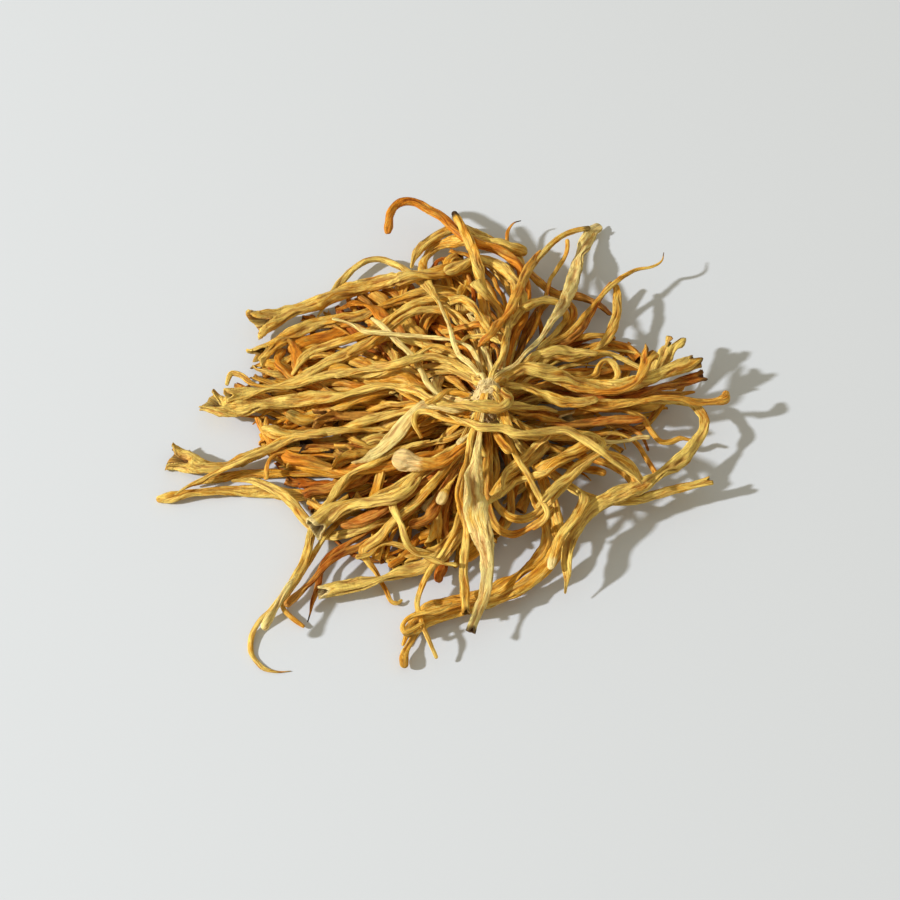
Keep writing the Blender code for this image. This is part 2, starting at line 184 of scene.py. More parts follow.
@dataclass
class Spine:
    """The centre line of a stalk.

    Attributes:
        points: Places along it, in millimetres.
        widths: Its width at each place.
        sides: The direction across it at each place.
    """

    points: np.ndarray
    widths: np.ndarray
    sides: np.ndarray

    @classmethod
    def along(cls, points: np.ndarray, widths: np.ndarray) -> "Spine":
        """A spine that lies flat side up.

        Args:
            points: Places along it.
            widths: Evenly spaced widths, from the first place to the last.

        Returns:
            The spine.
        """
        run = np.gradient(points, axis=0)
        sides = unit(np.cross(UP, unit(run)))
        share = np.linspace(0, 1, len(points))
        return cls(points, np.interp(share, np.linspace(0, 1, len(widths)), widths), sides)

    def lengths(self) -> np.ndarray:
        """Length from the start to each place."""
        steps = np.linalg.norm(np.diff(self.points, axis=0), axis=1)
        return np.concatenate([[0.0], np.cumsum(steps)])

    def tangents(self) -> np.ndarray:
        """Direction of the run at each place."""
        return unit(np.gradient(self.points, axis=0))

    def refined(self, step: float) -> "Spine":
        """The same line on a smooth curve with evenly spaced places.

        Args:
            step: Distance between places.

        Returns:
            The finer spine.
        """
        rows = np.column_stack([self.points, self.widths, self.sides])
        padded = np.vstack([2 * rows[0] - rows[1], rows, 2 * rows[-1] - rows[-2]])
        share = np.linspace(0, 1, 10, endpoint=False)[:, None]
        pieces = []
        for a, b, c, d in zip(padded, padded[1:], padded[2:], padded[3:]):
            bend = 2 * a - 5 * b + 4 * c - d
            pieces.append(0.5 * (2 * b + (c - a) * share + bend * share**2 + (3 * b - a - 3 * c + d) * share**3))
        dense = np.vstack(pieces + [rows[-1:]])
        run = np.concatenate([[0.0], np.cumsum(np.linalg.norm(np.diff(dense[:, :3], axis=0), axis=1))])
        at = np.linspace(0, run[-1], max(8, round(run[-1] / step)))
        even = np.stack([np.interp(at, run, dense[:, k]) for k in range(7)], -1)
        tangent = unit(np.gradient(even[:, :3], axis=0))
        side = even[:, 4:] - (even[:, 4:] * tangent).sum(1, keepdims=True) * tangent
        return Spine(even[:, :3], np.maximum(even[:, 3], 0.5), unit(side))

    def rooted(self, heart: np.ndarray, depth: float, crown: float) -> "Spine":
        """The spine with its start drawn into the base, or over its crown if it starts high.

        Args:
            heart: Middle of the base in plan.
            depth: How far in a low start goes.
            crown: Height of the base's crown.

        Returns:
            The longer spine.
        """
        start = self.points[0]
        inward = np.array([*(heart - start[:2]), 0.0])
        rise = eased((start[2] - 0.55 * crown) / (0.3 * crown))
        if rise > 0.05:
            ways = ((0.86, 0.30 * rise), (0.45, 0.72 * rise))
            room = crown - 0.3 * self.widths[0] - start[2]
            roots = [start + inward * way + UP * room * up for way, up in ways]
        else:
            roots = [start + unit(inward) * depth]
        count = len(roots)
        return Spine(np.vstack([*roots, self.points]),
                     np.concatenate([np.linspace(0.75, 0.95, count) * self.widths[0], self.widths]),
                     np.vstack([np.repeat(self.sides[:1], count, axis=0), self.sides]))

    def swayed(self, rng: np.random.Generator, size: float) -> "Spine":
        """The spine with small bends of its own.

        Args:
            rng: Where the random numbers come from.
            size: How far it strays.

        Returns:
            The bent spine.
        """
        at = self.lengths()
        hold = np.clip(at / 3.0, 0, 1)[:, None] * size
        lift = np.cross(self.tangents(), self.sides)
        stray = self.sides * Wander(rng, 8.0)(at)[:, None] + 0.45 * lift * Wander(rng, 9.0)(at)[:, None]
        return Spine(self.points + hold * stray, self.widths, self.sides)


class FrameStalk:
    """One stalk of the frame, read as a centre line."""

    RING = 6
    WELD = 1e-5

    def __init__(self, name: str, thing: bpy.types.Object) -> None:
        """Read the mesh.

        Args:
            name: The stalk's name.
            thing: Its object in the frame.
        """
        self.name = name
        self.slot = thing.data.materials[0].name.split(".")[0]
        self.points, self.faces = self._welded(thing.data)

    def _welded(self, mesh: bpy.types.Mesh) -> tuple[np.ndarray, list[tuple[int, ...]]]:
        """The mesh's points without doubles, and its faces over them."""
        places = np.array([vertex.co for vertex in mesh.vertices], float)
        tree = KDTree(len(places))
        for k, place in enumerate(places):
            tree.insert(place, k)
        tree.balance()
        first = [min(found[1] for found in tree.find_range(place, self.WELD)) for place in places]
        kept = sorted(set(first))
        number = {old: new for new, old in enumerate(kept)}
        faces = [tuple(number[first[v]] for v in face.vertices) for face in mesh.polygons]
        return places[kept] / MM, faces

    def _rings_from(self, seed: set[int], near: list[set[int]]) -> list[list[int]] | None:
        """The rings met in turn from a first one, or None if they aren't all full rings."""
        rings, met, front = [], set(seed), set(seed)
        while front:
            if len(front) != self.RING:
                return None
            rings.append(sorted(front))
            front = set().union(*(near[v] for v in front)) - met
            met |= front
        return rings if len(met) == len(self.points) else None

    def _caps(self) -> list[set[int]]:
        """Sets of six points that lie in one plane and are filled by four faces, the likely end rings."""
        normals = {}
        for k, (a, b, c) in enumerate(self.faces):
            normal = unit(np.cross(self.points[b] - self.points[a], self.points[c] - self.points[a]))
            normals.setdefault(tuple(np.round(normal, 1)), []).append((k, normal))
        owners = {}
        for k, face in enumerate(self.faces):
            for v in face:
                owners.setdefault(v, []).append(k)
        flat = [unit(np.cross(self.points[b] - self.points[a], self.points[c] - self.points[a]))
                for a, b, c in self.faces]
        found, used = [], set()
        for k in range(len(self.faces)):
            if k in used:
                continue
            group, queue = {k}, [k]
            while queue:
                for v in self.faces[queue.pop()]:
                    for other in owners[v]:
                        if other not in group and flat[other] @ flat[k] > 0.9995:
                            group.add(other)
                            queue.append(other)
            used |= group
            points = set().union(*(self.faces[g] for g in group))
            if len(group) == 4 and len(points) == self.RING:
                found.append(points)
        return found

    def spine(self, heart: np.ndarray) -> Spine:
        """The stalk's centre line, from the base outward.

        Args:
            heart: Middle of the base in plan.

        Returns:
            The spine through the middles of its rings.
        """
        near = [set() for _ in self.points]
        for face in self.faces:
            for v in face:
                near[v] |= set(face) - {v}
        runs = [run for cap in self._caps() if (run := self._rings_from(cap, near))]
        if not runs:
            raise ValueError(f"{self.name}: no end ring found")
        rings = min(runs, key=lambda run: np.linalg.norm(self.points[run[0]].mean(0)[:2] - heart))
        middles = np.array([self.points[ring].mean(0) for ring in rings])
        run = unit(np.gradient(middles, axis=0))
        widths, sides = [], []
        for ring, middle, tangent in zip(rings, middles, run):
            arms = self.points[ring] - middle
            far = arms[np.argmax(np.linalg.norm(arms, axis=1))]
            across = np.cross(UP, tangent)
            far = far if far @ across > 0 else -far
            widths.append(2 * np.linalg.norm(far))
            sides.append(unit(far))
        return Spine(middles, np.array(widths), np.array(sides))


MARKS = ("groove", "tip", "wool", "inside", "tone")
PRESSED = 0.3


class Shell:
    """A growing mesh with the marks that its finish reads."""

    def __init__(self) -> None:
        """Start with nothing."""
        self.points: list[np.ndarray] = []
        self.grain: list[np.ndarray] = []
        self.marks: dict[str, list[np.ndarray]] = {name: [] for name in MARKS}
        self.faces: list[tuple[int, ...]] = []
        self.count = 0

    def add_tube(self, rings: np.ndarray, grain: np.ndarray, marks: dict[str, np.ndarray]) -> None:
        """Add a closed tube.

        Args:
            rings: Points, by ring and then around, in millimetres.
            grain: The lengthwise coordinate of each point.
            marks: Marks by ring and around; the ones left out are 0.
        """
        count, around = rings.shape[:2]
        base = self.count
        corner = base + np.arange(count * around).reshape(count, around)
        turned = np.roll(corner, -1, axis=1)
        quads = np.stack([corner[:-1], turned[:-1], turned[1:], corner[1:]], -1).reshape(-1, 4)
        self.faces.extend(map(tuple, quads.tolist()))
        self.faces.append(tuple(corner[0][::-1].tolist()))
        self.faces.append(tuple(corner[-1].tolist()))
        self.points.append(rings.reshape(-1, 3))
        self.grain.append(grain.reshape(-1, 3))
        for name in MARKS:
            value = marks.get(name, np.zeros((count, around)))
            self.marks[name].append(np.broadcast_to(value, (count, around)).reshape(-1))
        self.count += count * around

    def make(self, name: str, material: bpy.types.Material) -> bpy.types.Object:
        """The mesh as an object.

        Args:
            name: Name of the piece.
            material: Its finish.

        Returns:
            The new object, linked to the scene.
        """
        mesh = bpy.data.meshes.new(name)
        points = np.concatenate(self.points) * MM
        mesh.from_pydata(points.tolist(), [], self.faces)
        mesh.attributes.new("grain", "FLOAT_VECTOR", "POINT").data.foreach_set(
            "vector", np.concatenate(self.grain).astype(np.float32).ravel())
        for mark, values in self.marks.items():
            layer = mesh.attributes.new(mark, "FLOAT", "POINT")
            layer.data.foreach_set("value", np.concatenate(values).astype(np.float32))
        mesh.polygons.foreach_set("use_smooth", np.ones(len(mesh.polygons), bool))
        mesh.materials.append(material)
        thing = bpy.data.objects.new(name, mesh)
        bpy.context.scene.collection.objects.link(thing)
        return thing


@dataclass(frozen=True)
class Habit:
    """How one stalk dried.

    Attributes:
        ending: How its free end looks.
        tone: From 0, deep orange, to 1, bleached.
        fold: Depth of its lengthwise folds, over half its width.
        twist: How far it turns about its own line, in radians.
        plump: Thickness over width.
        curl: How far its edges curl up or down.
        sunk: How far its middle has collapsed between its edges.
        tip: How dark its tip is, 0 to 1.
        flare: How much wider its end gets.
        flare_reach: Length over which it does.
        wide: Its width over the frame's.
        slim: How much narrower its first half is.
        finish: Its finish, if it isn't the frame's.
        ring: Length from the free end at which it is pinched all round, or 0.
        wool_end: Length of wool at its free end.
    """

    ending: Ending = Ending.ROUND
    tone: float = 0.5
    fold: float = 0.22
    twist: float = 0.6
    plump: float = 0.62
    curl: float = 0.3
    sunk: float = 0.5
    tip: float = 0.0
    flare: float = 0.0
    flare_reach: float = 7.0
    wide: float = 1.0
    slim: float = 0.0
    finish: str = ""
    ring: float = 0.0
    wool_end: float = 0.0


class Skin:
    """The wrinkled surface of one stalk."""

    def __init__(self, spine: Spine, habit: Habit, seed: int, step: float = 0.44, wool: float = 3.0,
                 sway: float = 0.12, fine: float = 1.0, pointed: bool = False) -> None:
        """Settle the stalk's shape along its length.

        Args:
            spine: Its centre line.
            habit: How it dried.
            seed: Settles its own wrinkles.
            step: Distance between rings.
            wool: Length of wool at its start.
            sway: How far its own small bends stray.
            fine: Share of the full count of points around it.
            pointed: Whether its start is drawn out thin.
        """
        self.rng = np.random.default_rng(seed)
        self.spine = spine.refined(step).swayed(self.rng, sway)
        self.habit = habit
        self.at = self.spine.lengths()
        self.tail = self.at[-1] - self.at
        self.wool = wool
        self.pointed = pointed
        widest = float(self.spine.widths.max())
        self.around = round(fine * (14 if widest < 1.7 else 22 if widest < 2.6 else 30))
        self.theta = np.linspace(0, 2 * math.pi, self.around, endpoint=False)

    def _halves(self) -> np.ndarray:
        """Half width at each ring, with lumps, pinches and the shape of the end."""
        habit, tail = self.habit, self.tail
        lumps = 1 + 0.06 * Wander(self.rng, 10.0)(self.at) + 0.03 * Wander(self.rng, 2.2)(self.at)
        half = 0.5 * habit.wide * self.spine.widths * lumps
        half = half * (1 - habit.slim * (1 - eased((self.at / self.at[-1] - 0.2) / 0.3)))
        if self.pointed:
            half = half * (0.25 + 0.75 * eased(self.at / 3.5))
        end = 0.5 * float(self.spine.widths[-1]) / 0.72
        if habit.ending is Ending.TAPER:
            half = half * (0.4 + 0.6 * eased(tail / 7.0))
        elif habit.ending is Ending.CLUB:
            half = half * (1 + 0.28 * np.exp(-(((tail - 1.6 * end) / (1.6 * end)) ** 2)))
        elif habit.ending is Ending.KNOB:
            half = half * (1 + 0.45 * np.exp(-(((tail - 1.2 * end) / (1.3 * end)) ** 2)))
        elif habit.ending in (Ending.TORN, Ending.LEAFY, Ending.CUT):
            half = half * (1 + 0.3 * np.exp(-tail / 2.0))
        half = half * (1 + habit.flare * np.clip(1 - tail / habit.flare_reach, 0, 1) ** 1.4)
        if habit.ring:
            near = (tail - habit.ring) / 0.55
            half = half * (1 - 0.22 * np.exp(-(near**2)) + 0.1 * np.exp(-((near - 2.0) ** 2)))
        return half

    def _relief(self, half: np.ndarray) -> tuple[np.ndarray, np.ndarray]:
        """Lengthwise folds and fine wrinkles, over the half width, and the mark of the folds."""
        rng, at, theta = self.rng, self.at, self.theta
        relief, mark = (np.zeros((len(at), self.around)) for _ in range(2))
        broad = 2 + int(0.8 * float(half.max()) + rng.uniform(0, 1.4))
        for count, depth, narrow, wide in ((broad, 1.35, 0.17, 0.27), (2 * broad + 2, 0.6, 0.13, 0.17)):
            for k in range(count):
                middle = 2 * math.pi * (k + rng.uniform(-0.4, 0.4)) / count + 0.32 * Wander(rng, 18.0)(at)
                deep = self.habit.fold * depth * np.clip(0.5 + 0.9 * Wander(rng, 7.0)(at), 0.0, 1.4)
                away = np.angle(np.exp(1j * (theta[None, :] - middle[:, None])))
                crease = np.exp(-((away / rng.uniform(narrow, wide)) ** 2)) * deep[:, None]
                relief -= crease
                mark += crease
        # The fold mark, which the finish paints with shade in the creases.
        mark = np.clip(mark / (1.25 * self.habit.fold), 0.0, 1.0)
        fine = Wander(rng, 9.0)(at)[:, None]
        pitch = rng.uniform(0.9, 1.5)
        calm = np.clip(Wander(rng, 6.0)(at), 0.0, 1.0)[:, None]
        relief += 0.03 * calm * np.sin(2 * math.pi * at[:, None] / pitch + 1.3 * np.sin(theta)[None, :] + 3 * fine)
        if self.habit.ending in (Ending.CLUB, Ending.KNOB):
            smooth = 1 - 0.85 * np.exp(-((self.tail / (1.6 * float(half[-1]) + 1.0)) ** 2))[:, None]
            relief, mark = relief * smooth, mark * smooth
        return relief, mark

    def _rings(self, half: np.ndarray) -> tuple[np.ndarray, np.ndarray]:
        """The rings of the outer wall, as points, and the mark of the folds."""
        rng, habit, at = self.rng, self.habit, self.at
        plump = np.clip(habit.plump + 0.12 * Wander(rng, 9.0)(at), 0.28, 0.98)[:, None]
        if habit.ending in (Ending.CLUB, Ending.KNOB):
            plump = plump + (0.95 - plump) * np.exp(-((self.tail / 5.0) ** 2))[:, None]
        turn = (habit.twist * Wander(rng, 15.0)(at))[:, None]
        curl = (habit.curl * Wander(rng, 10.0)(at))[:, None]
        sunk = (habit.sunk * np.clip(0.55 + 0.6 * Wander(rng, 11.0)(at), 0.0, 1.0))[:, None]
        relief, mark = self._relief(half)
        across = np.cos(self.theta)[None, :] * (1 + relief)
        dip = sunk * np.exp(-((np.cos(self.theta)[None, :] / 0.5) ** 2))
        # The collapsed middle joins the fold mark, so it is painted with shade too.
        mark = np.clip(mark + 0.5 * dip, 0.0, 1.0)
        upward = np.sin(self.theta)[None, :] * plump * (1 + relief) * (1 - dip)
        upward = upward + curl * (across**2 - 0.4) * (1.1 - plump)
        turned = across * np.cos(turn) - upward * np.sin(turn)
        raised = across * np.sin(turn) + upward * np.cos(turn)
        side = self.spine.sides
        top = unit(np.cross(self.spine.tangents(), side))
        arms = turned[..., None] * side[:, None, :] + raised[..., None] * top[:, None, :]
        return self.spine.points[:, None, :] + arms * half[:, None, None], mark

    def _dome(self, rings: np.ndarray, rise: float) -> tuple[np.ndarray, np.ndarray]:
        """Rings that close the end round, and how far along each is."""
        arms = rings[-1] - self.spine.points[-1]
        angle = np.linspace(0, math.pi / 2, 7)[1:]
        angle[-1] *= 0.985
        ahead = rise * np.sin(angle)
        run = self.spine.tangents()[-1]
        closed = (self.spine.points[-1] + ahead[:, None, None] * run
                  + arms[None] * np.cos(angle)[:, None, None])
        return closed, ahead

    def _mouth(self, rings: np.ndarray) -> tuple[np.ndarray, np.ndarray, np.ndarray]:
        """The torn rim, the hollow behind it, and the outer wall bent to meet them."""
        rng, theta = self.rng, self.theta
        leafy = self.habit.ending is Ending.LEAFY
        cut = self.habit.ending is Ending.CUT
        size = float(np.linalg.norm(rings[-1] - self.spine.points[-1], axis=1).max())
        depth = (0.35 if cut else 2.6 if leafy else 1.6) * size
        ragged = (0.14 if cut else 0.8 if leafy else 0.5) * size
        tooth = sum(rng.uniform(0.3, 1.0) / k**0.6 * np.cos(k * theta + rng.uniform(0, 6.28)) for k in (1, 2, 3, 5, 8))
        slits = (math.pi / 2 + rng.uniform(-0.5, 0.5), rng.uniform(2.6, 3.8), rng.uniform(4.2, 5.6))
        slit = 0.0
        for k, spot in enumerate(slits[:3 if leafy else 1]):
            away = np.angle(np.exp(1j * (theta - spot)))
            slit = slit + (2.3 if k == 0 else 1.3) * (0.25 if cut else 1.0) * np.exp(-((away / 0.42) ** 2))
        offset = ragged * (0.4 * tooth - slit)
        reach = 1.7 * float(-offset.min()) + 0.5
        open_out = (0.42 if leafy else 0.2) * np.cos(2 * theta + rng.uniform(0, 6.28)) + (0.2 if leafy else 0.08)
        pull = np.clip(1 - self.tail / reach, 0, 1) ** 1.5
        run = self.spine.tangents()
        centre = self.spine.points[:, None, :]
        swell = 1 + (0 if cut else 1) * open_out[None, :] * (np.clip(1 - self.tail / (2 * reach), 0, 1) ** 2)[:, None]
        bent = centre + (rings - centre) * swell[..., None]
        bent = bent + (pull[:, None] * offset[None, :])[..., None] * run[:, None, :]
        back = np.searchsorted(-self.tail, -np.linspace(0.25, max(depth, 0.5), 7)).clip(0, len(self.at) - 1)
        share = np.linspace(0, 1, len(back))
        inner = centre[back] + (bent[back] - centre[back]) * (0.84 - 0.5 * share**2)[:, None, None]
        return bent, inner, share

    def add_to(self, shell: Shell) -> None:
        """Add the stalk to a shell."""
        half = self._halves()
        rings, fold = self._rings(half)
        count = len(rings)
        if self.habit.ending in (Ending.TORN, Ending.LEAFY, Ending.CUT):
            rings, inner, share = self._mouth(rings)
            ahead = -share * 2.0
            # The inner wall's mark, which the finish paints with shade inside the hollow.
            inside = np.concatenate([np.zeros(count), 0.45 + 0.55 * share])
            rings = np.concatenate([rings, inner])
        else:
            rise = float(half[-1]) * (1.0 if self.habit.ending is not Ending.TAPER else 1.8)
            closed, ahead = self._dome(rings, rise)
            inside = np.zeros(count + len(closed))
            rings = np.concatenate([rings, closed])
        extra = len(rings) - count
        near = np.minimum(rings[..., 2], PRESSED)
        rings[..., 2] += PRESSED * np.exp((near - PRESSED) / PRESSED) - near
        at = np.concatenate([self.at, self.at[-1] + ahead])
        tail = np.concatenate([self.tail, np.zeros(extra)])
        half = np.concatenate([half, np.full(extra, half[-1])])
        fold = np.vstack([fold, np.repeat(fold[-1:], extra, axis=0)])
        shift = self.rng.uniform(0, 400, 3)
        around = np.stack([np.cos(self.theta), np.sin(self.theta)], -1)
        grain = np.concatenate([half[:, None, None] * around[None], np.broadcast_to(
            at[:, None, None], (len(at), self.around, 1))], -1) + shift
        tone = self.habit.tone + 0.16 * Wander(self.rng, 14.0)(at)
        wool = np.maximum(eased(1.25 - at / max(self.wool, 0.1)),
                          eased(1.4 - tail / max(self.habit.wool_end, 0.1)) if self.habit.wool_end else 0.0)
        dark = self.habit.tip * eased(1.15 - tail / 2.4)
        shell.add_tube(rings, grain, {
            "groove": fold, "tip": dark[:, None], "wool": wool[:, None], "inside": inside[:, None],
            "tone": np.clip(tone, 0.0, 1.0)[:, None]})


class Bench:
    """Short ways to add and join the nodes of one tree."""

    def __init__(self, tree: bpy.types.NodeTree) -> None:
        """Work on a tree."""
        self.tree = tree

    def add(self, kind: str, **settings) -> bpy.types.Node:
        """A new node with some of its settings."""
        node = self.tree.nodes.new(kind)
        for name, value in settings.items():
            setattr(node, name, value)
        return node

    def put(self, socket: bpy.types.NodeSocket, value) -> None:
        """Join a socket to another one, or give it a plain value."""
        if isinstance(value, bpy.types.NodeSocket):
            self.tree.links.new(value, socket)
        elif isinstance(value, tuple) and len(value) == 3 and socket.type == "RGBA":
            socket.default_value = (*value, 1.0)
        else:
            socket.default_value = value

    def mark(self, name: str, vector: bool = False) -> bpy.types.NodeSocket:
        """One of the marks that a shell carries."""
        node = self.add("ShaderNodeAttribute", attribute_name=name)
        return node.outputs["Vector" if vector else "Fac"]

    def math(self, operation: str, first, second=0.0, clamp: bool = False) -> bpy.types.NodeSocket:
        """A sum, product or other number from two numbers."""
        node = self.add("ShaderNodeMath", operation=operation, use_clamp=clamp)
        self.put(node.inputs[0], first)
        self.put(node.inputs[1], second)
        return node.outputs[0]

    def scaled(self, vector, scale: tuple[float, float, float]) -> bpy.types.NodeSocket:
        """A vector times another."""
        node = self.add("ShaderNodeVectorMath", operation="MULTIPLY")
        self.put(node.inputs[0], vector)
        node.inputs[1].default_value = scale
        return node.outputs[0]

    def noise(self, vector, scale: float, detail: float = 3.0, rough: float = 0.55,
              warp: float = 0.0) -> bpy.types.NodeSocket:
        """A cloudy number from 0 to 1."""
        node = self.add("ShaderNodeTexNoise")
        self.put(node.inputs["Vector"], vector)
        node.inputs["Scale"].default_value = scale
        node.inputs["Detail"].default_value = detail
        node.inputs["Roughness"].default_value = rough
        node.inputs["Distortion"].default_value = warp
        return node.outputs["Fac"]

    def ramp(self, value, low: float, high: float, to: tuple[float, float] = (0.0, 1.0)) -> bpy.types.NodeSocket:
        """A number eased from one range to another."""
        node = self.add("ShaderNodeMapRange", interpolation_type="SMOOTHSTEP")
        self.put(node.inputs["Value"], value)
        node.inputs["From Min"].default_value = low
        node.inputs["From Max"].default_value = high
        node.inputs["To Min"].default_value = to[0]
        node.inputs["To Max"].default_value = to[1]
        return node.outputs["Result"]

    def mix(self, share, first, second, blend: str = "MIX") -> bpy.types.NodeSocket:
        """A colour between two."""
        node = self.add("ShaderNodeMix", data_type="RGBA", blend_type=blend, clamp_factor=True)
        self.put(node.inputs[0], share)
        self.put(node.inputs[6], first)
        self.put(node.inputs[7], second)
        return node.outputs[2]

    def group(self, tree: bpy.types.NodeTree, **values) -> bpy.types.Node:
        """A node group placed with its own values."""
        node = self.add("ShaderNodeGroup", node_tree=tree)
        for name, value in values.items():
            self.put(node.inputs[name.replace("_", " ").capitalize()], value)
        return node


class Effects:
    """The node groups that several finishes share, each built once."""

    FLOAT, VECTOR, COLOUR = "NodeSocketFloat", "NodeSocketVector", "NodeSocketColor"

    def __init__(self) -> None:
        """Build the groups."""
        self.streaks = self._streaks()
        self.flesh = self._flesh()
        self.wool_tips_and_shade = self._wool_tips_and_shade()

    def _start(self, name: str, inputs: dict[str, str], outputs: dict[str, str]) -> tuple[Bench, dict, dict]:
        """An empty group with its sockets.

        Args:
            name: The group's name.
            inputs: Kind of socket by name.
            outputs: Kind of socket by name.

        Returns:
            The bench, the sockets that come in and the sockets to fill.
        """
        tree = bpy.data.node_groups.new(name, "ShaderNodeTree")
        for label, kind in inputs.items():
            tree.interface.new_socket(label, in_out="INPUT", socket_type=kind)
        for label, kind in outputs.items():
            tree.interface.new_socket(label, in_out="OUTPUT", socket_type=kind)
        bench = Bench(tree)
        arrive, leave = bench.add("NodeGroupInput"), bench.add("NodeGroupOutput")
        return bench, arrive.outputs, leave.inputs

    def _streaks(self) -> bpy.types.NodeTree:
        """Fibres, patches and specks that run along a stalk."""
        bench, come, go = self._start(
            "lengthwise_streaks", {"Grain": self.VECTOR},
            {"Fibres": self.FLOAT, "Patches": self.FLOAT, "Specks": self.FLOAT, "Ridges": self.FLOAT,
             "Height": self.FLOAT})
        threads = bench.noise(bench.scaled(come["Grain"], (1.0, 1.0, 0.07)), 4.2, 3.0, 0.6)
        patches = bench.noise(bench.scaled(come["Grain"], (0.6, 0.6, 0.22)), 0.9, 3.0, 0.55, 0.4)
        cross = bench.noise(bench.scaled(come["Grain"], (0.5, 0.5, 1.7)), 1.6, 3.0, 0.6, 0.6)
        specks = bench.ramp(bench.noise(come["Grain"], 4.5, 2.0, 0.5), 0.66, 0.74)
        ribs = self._creases(bench, bench.scaled(come["Grain"], (1.0, 1.0, 0.07)), 0.9, 0.03)
        wrinkles = self._creases(bench, bench.scaled(come["Grain"], (1.0, 1.0, 0.1)), 2.0, 0.035)
        ridges = bench.math("ADD", bench.math("MULTIPLY", ribs, 0.6), bench.math("MULTIPLY", wrinkles, 0.4))
        bench.put(go["Fibres"], bench.ramp(threads, 0.32, 0.68))
        bench.put(go["Patches"], patches)
        bench.put(go["Specks"], specks)
        bench.put(go["Ridges"], ridges)
        height = bench.math("ADD", bench.math("MULTIPLY", ridges, 0.7), bench.math("MULTIPLY", threads, 0.3))
        height = bench.math("ADD", height, bench.math("MULTIPLY", cross, 0.35))
        bench.put(go["Height"], bench.math("SUBTRACT", height, bench.math("MULTIPLY", specks, 0.1)))
        return bench.tree

    def _creases(self, bench: Bench, vector: bpy.types.NodeSocket, scale: float,
                 width: float) -> bpy.types.NodeSocket:
        """Narrow valleys between rounded ridges, 0 in a valley and 1 on a ridge.

        Args:
            bench: The tree to work on.
            vector: Where the ridges run.
            scale: How many there are.
            width: Half width of a valley.

        Returns:
            The number.
        """
        cloud = bench.noise(vector, scale, 2.0, 0.5)
        away = bench.math("ABSOLUTE", bench.math("SUBTRACT", cloud, 0.5))
        return bench.ramp(away, 0.0, width)

    def _flesh(self) -> bpy.types.NodeTree:
        """The colour of dried flesh, paler or deeper in streaks and patches, with painted shade in its folds and in the
        valleys between its fine ridges.
        """
        bench, come, go = self._start(
            "dried_flesh", {"Pale": self.COLOUR, "Body": self.COLOUR, "Deep": self.COLOUR, "Fibres": self.FLOAT,
                            "Patches": self.FLOAT, "Specks": self.FLOAT, "Ridges": self.FLOAT, "Groove": self.FLOAT,
                            "Tone": self.FLOAT}, {"Colour": self.COLOUR})
        share = bench.math("ADD", come["Tone"], bench.math("MULTIPLY", bench.math("SUBTRACT", come["Fibres"], 0.5), 0.5))
        share = bench.math("ADD", share, bench.math("MULTIPLY", bench.math("SUBTRACT", come["Patches"], 0.5), 1.9))
        colour = bench.mix(bench.ramp(share, 0.0, 0.86), come["Body"], come["Pale"])
        # Painted shade: the valleys between the fine ridges are pulled toward the deep colour; dull patches, the
        # flesh's own, are too.
        low = bench.math("SUBTRACT", 1.0, come["Ridges"])
        dull = bench.ramp(bench.math("ADD", come["Patches"], bench.math("MULTIPLY", come["Fibres"], 0.25)), 0.62, 0.38)
        deep = bench.math("ADD", bench.math("MULTIPLY", low, 0.42), bench.math("MULTIPLY", dull, 0.29), clamp=True)
        colour = bench.mix(deep, colour, come["Deep"])
        # Painted shade in the folds and the collapsed middle, by the fold mark.
        colour = bench.mix(bench.math("MULTIPLY", come["Groove"], 0.62), colour, come["Deep"])
        colour = bench.mix(bench.math("MULTIPLY", come["Specks"], 0.3), colour, come["Deep"])
        bench.put(go["Colour"], colour)
        return bench.tree

    def _wool_tips_and_shade(self) -> bpy.types.NodeTree:
        """Wool at the base, dark tips and painted shade in hollows and pits laid over a colour."""
        bench, come, go = self._start(
            "wool_tips_and_hollow_shade", {"Colour": self.COLOUR, "Fibres": self.FLOAT, "Patches": self.FLOAT, "Wool": self.FLOAT,
                              "Tip": self.FLOAT, "Inside": self.FLOAT, "Wool colour": self.COLOUR,
                              "Tip colour": self.COLOUR, "Hollow colour": self.COLOUR}, {"Colour": self.COLOUR})
        uneven = bench.math("MULTIPLY", bench.math("SUBTRACT", come["Fibres"], 0.5), 0.7)
        wool = bench.ramp(bench.math("ADD", come["Wool"], bench.math("MULTIPLY", uneven, come["Wool"])), 0.1, 0.9)
        colour = bench.mix(bench.math("MULTIPLY", wool, 0.72), come["Colour"], come["Wool colour"])
        colour = bench.mix(bench.ramp(bench.math("ADD", come["Tip"], bench.math("MULTIPLY", uneven, 0.2)), 0.15, 0.85),
                           colour, come["Tip colour"])
        # Painted shade inside torn hollows and in the base's pits.
        colour = bench.mix(bench.ramp(come["Inside"], 0.2, 0.9, (0.0, 0.92)), colour, come["Hollow colour"])
        bench.put(go["Colour"], colour)
        return bench.tree


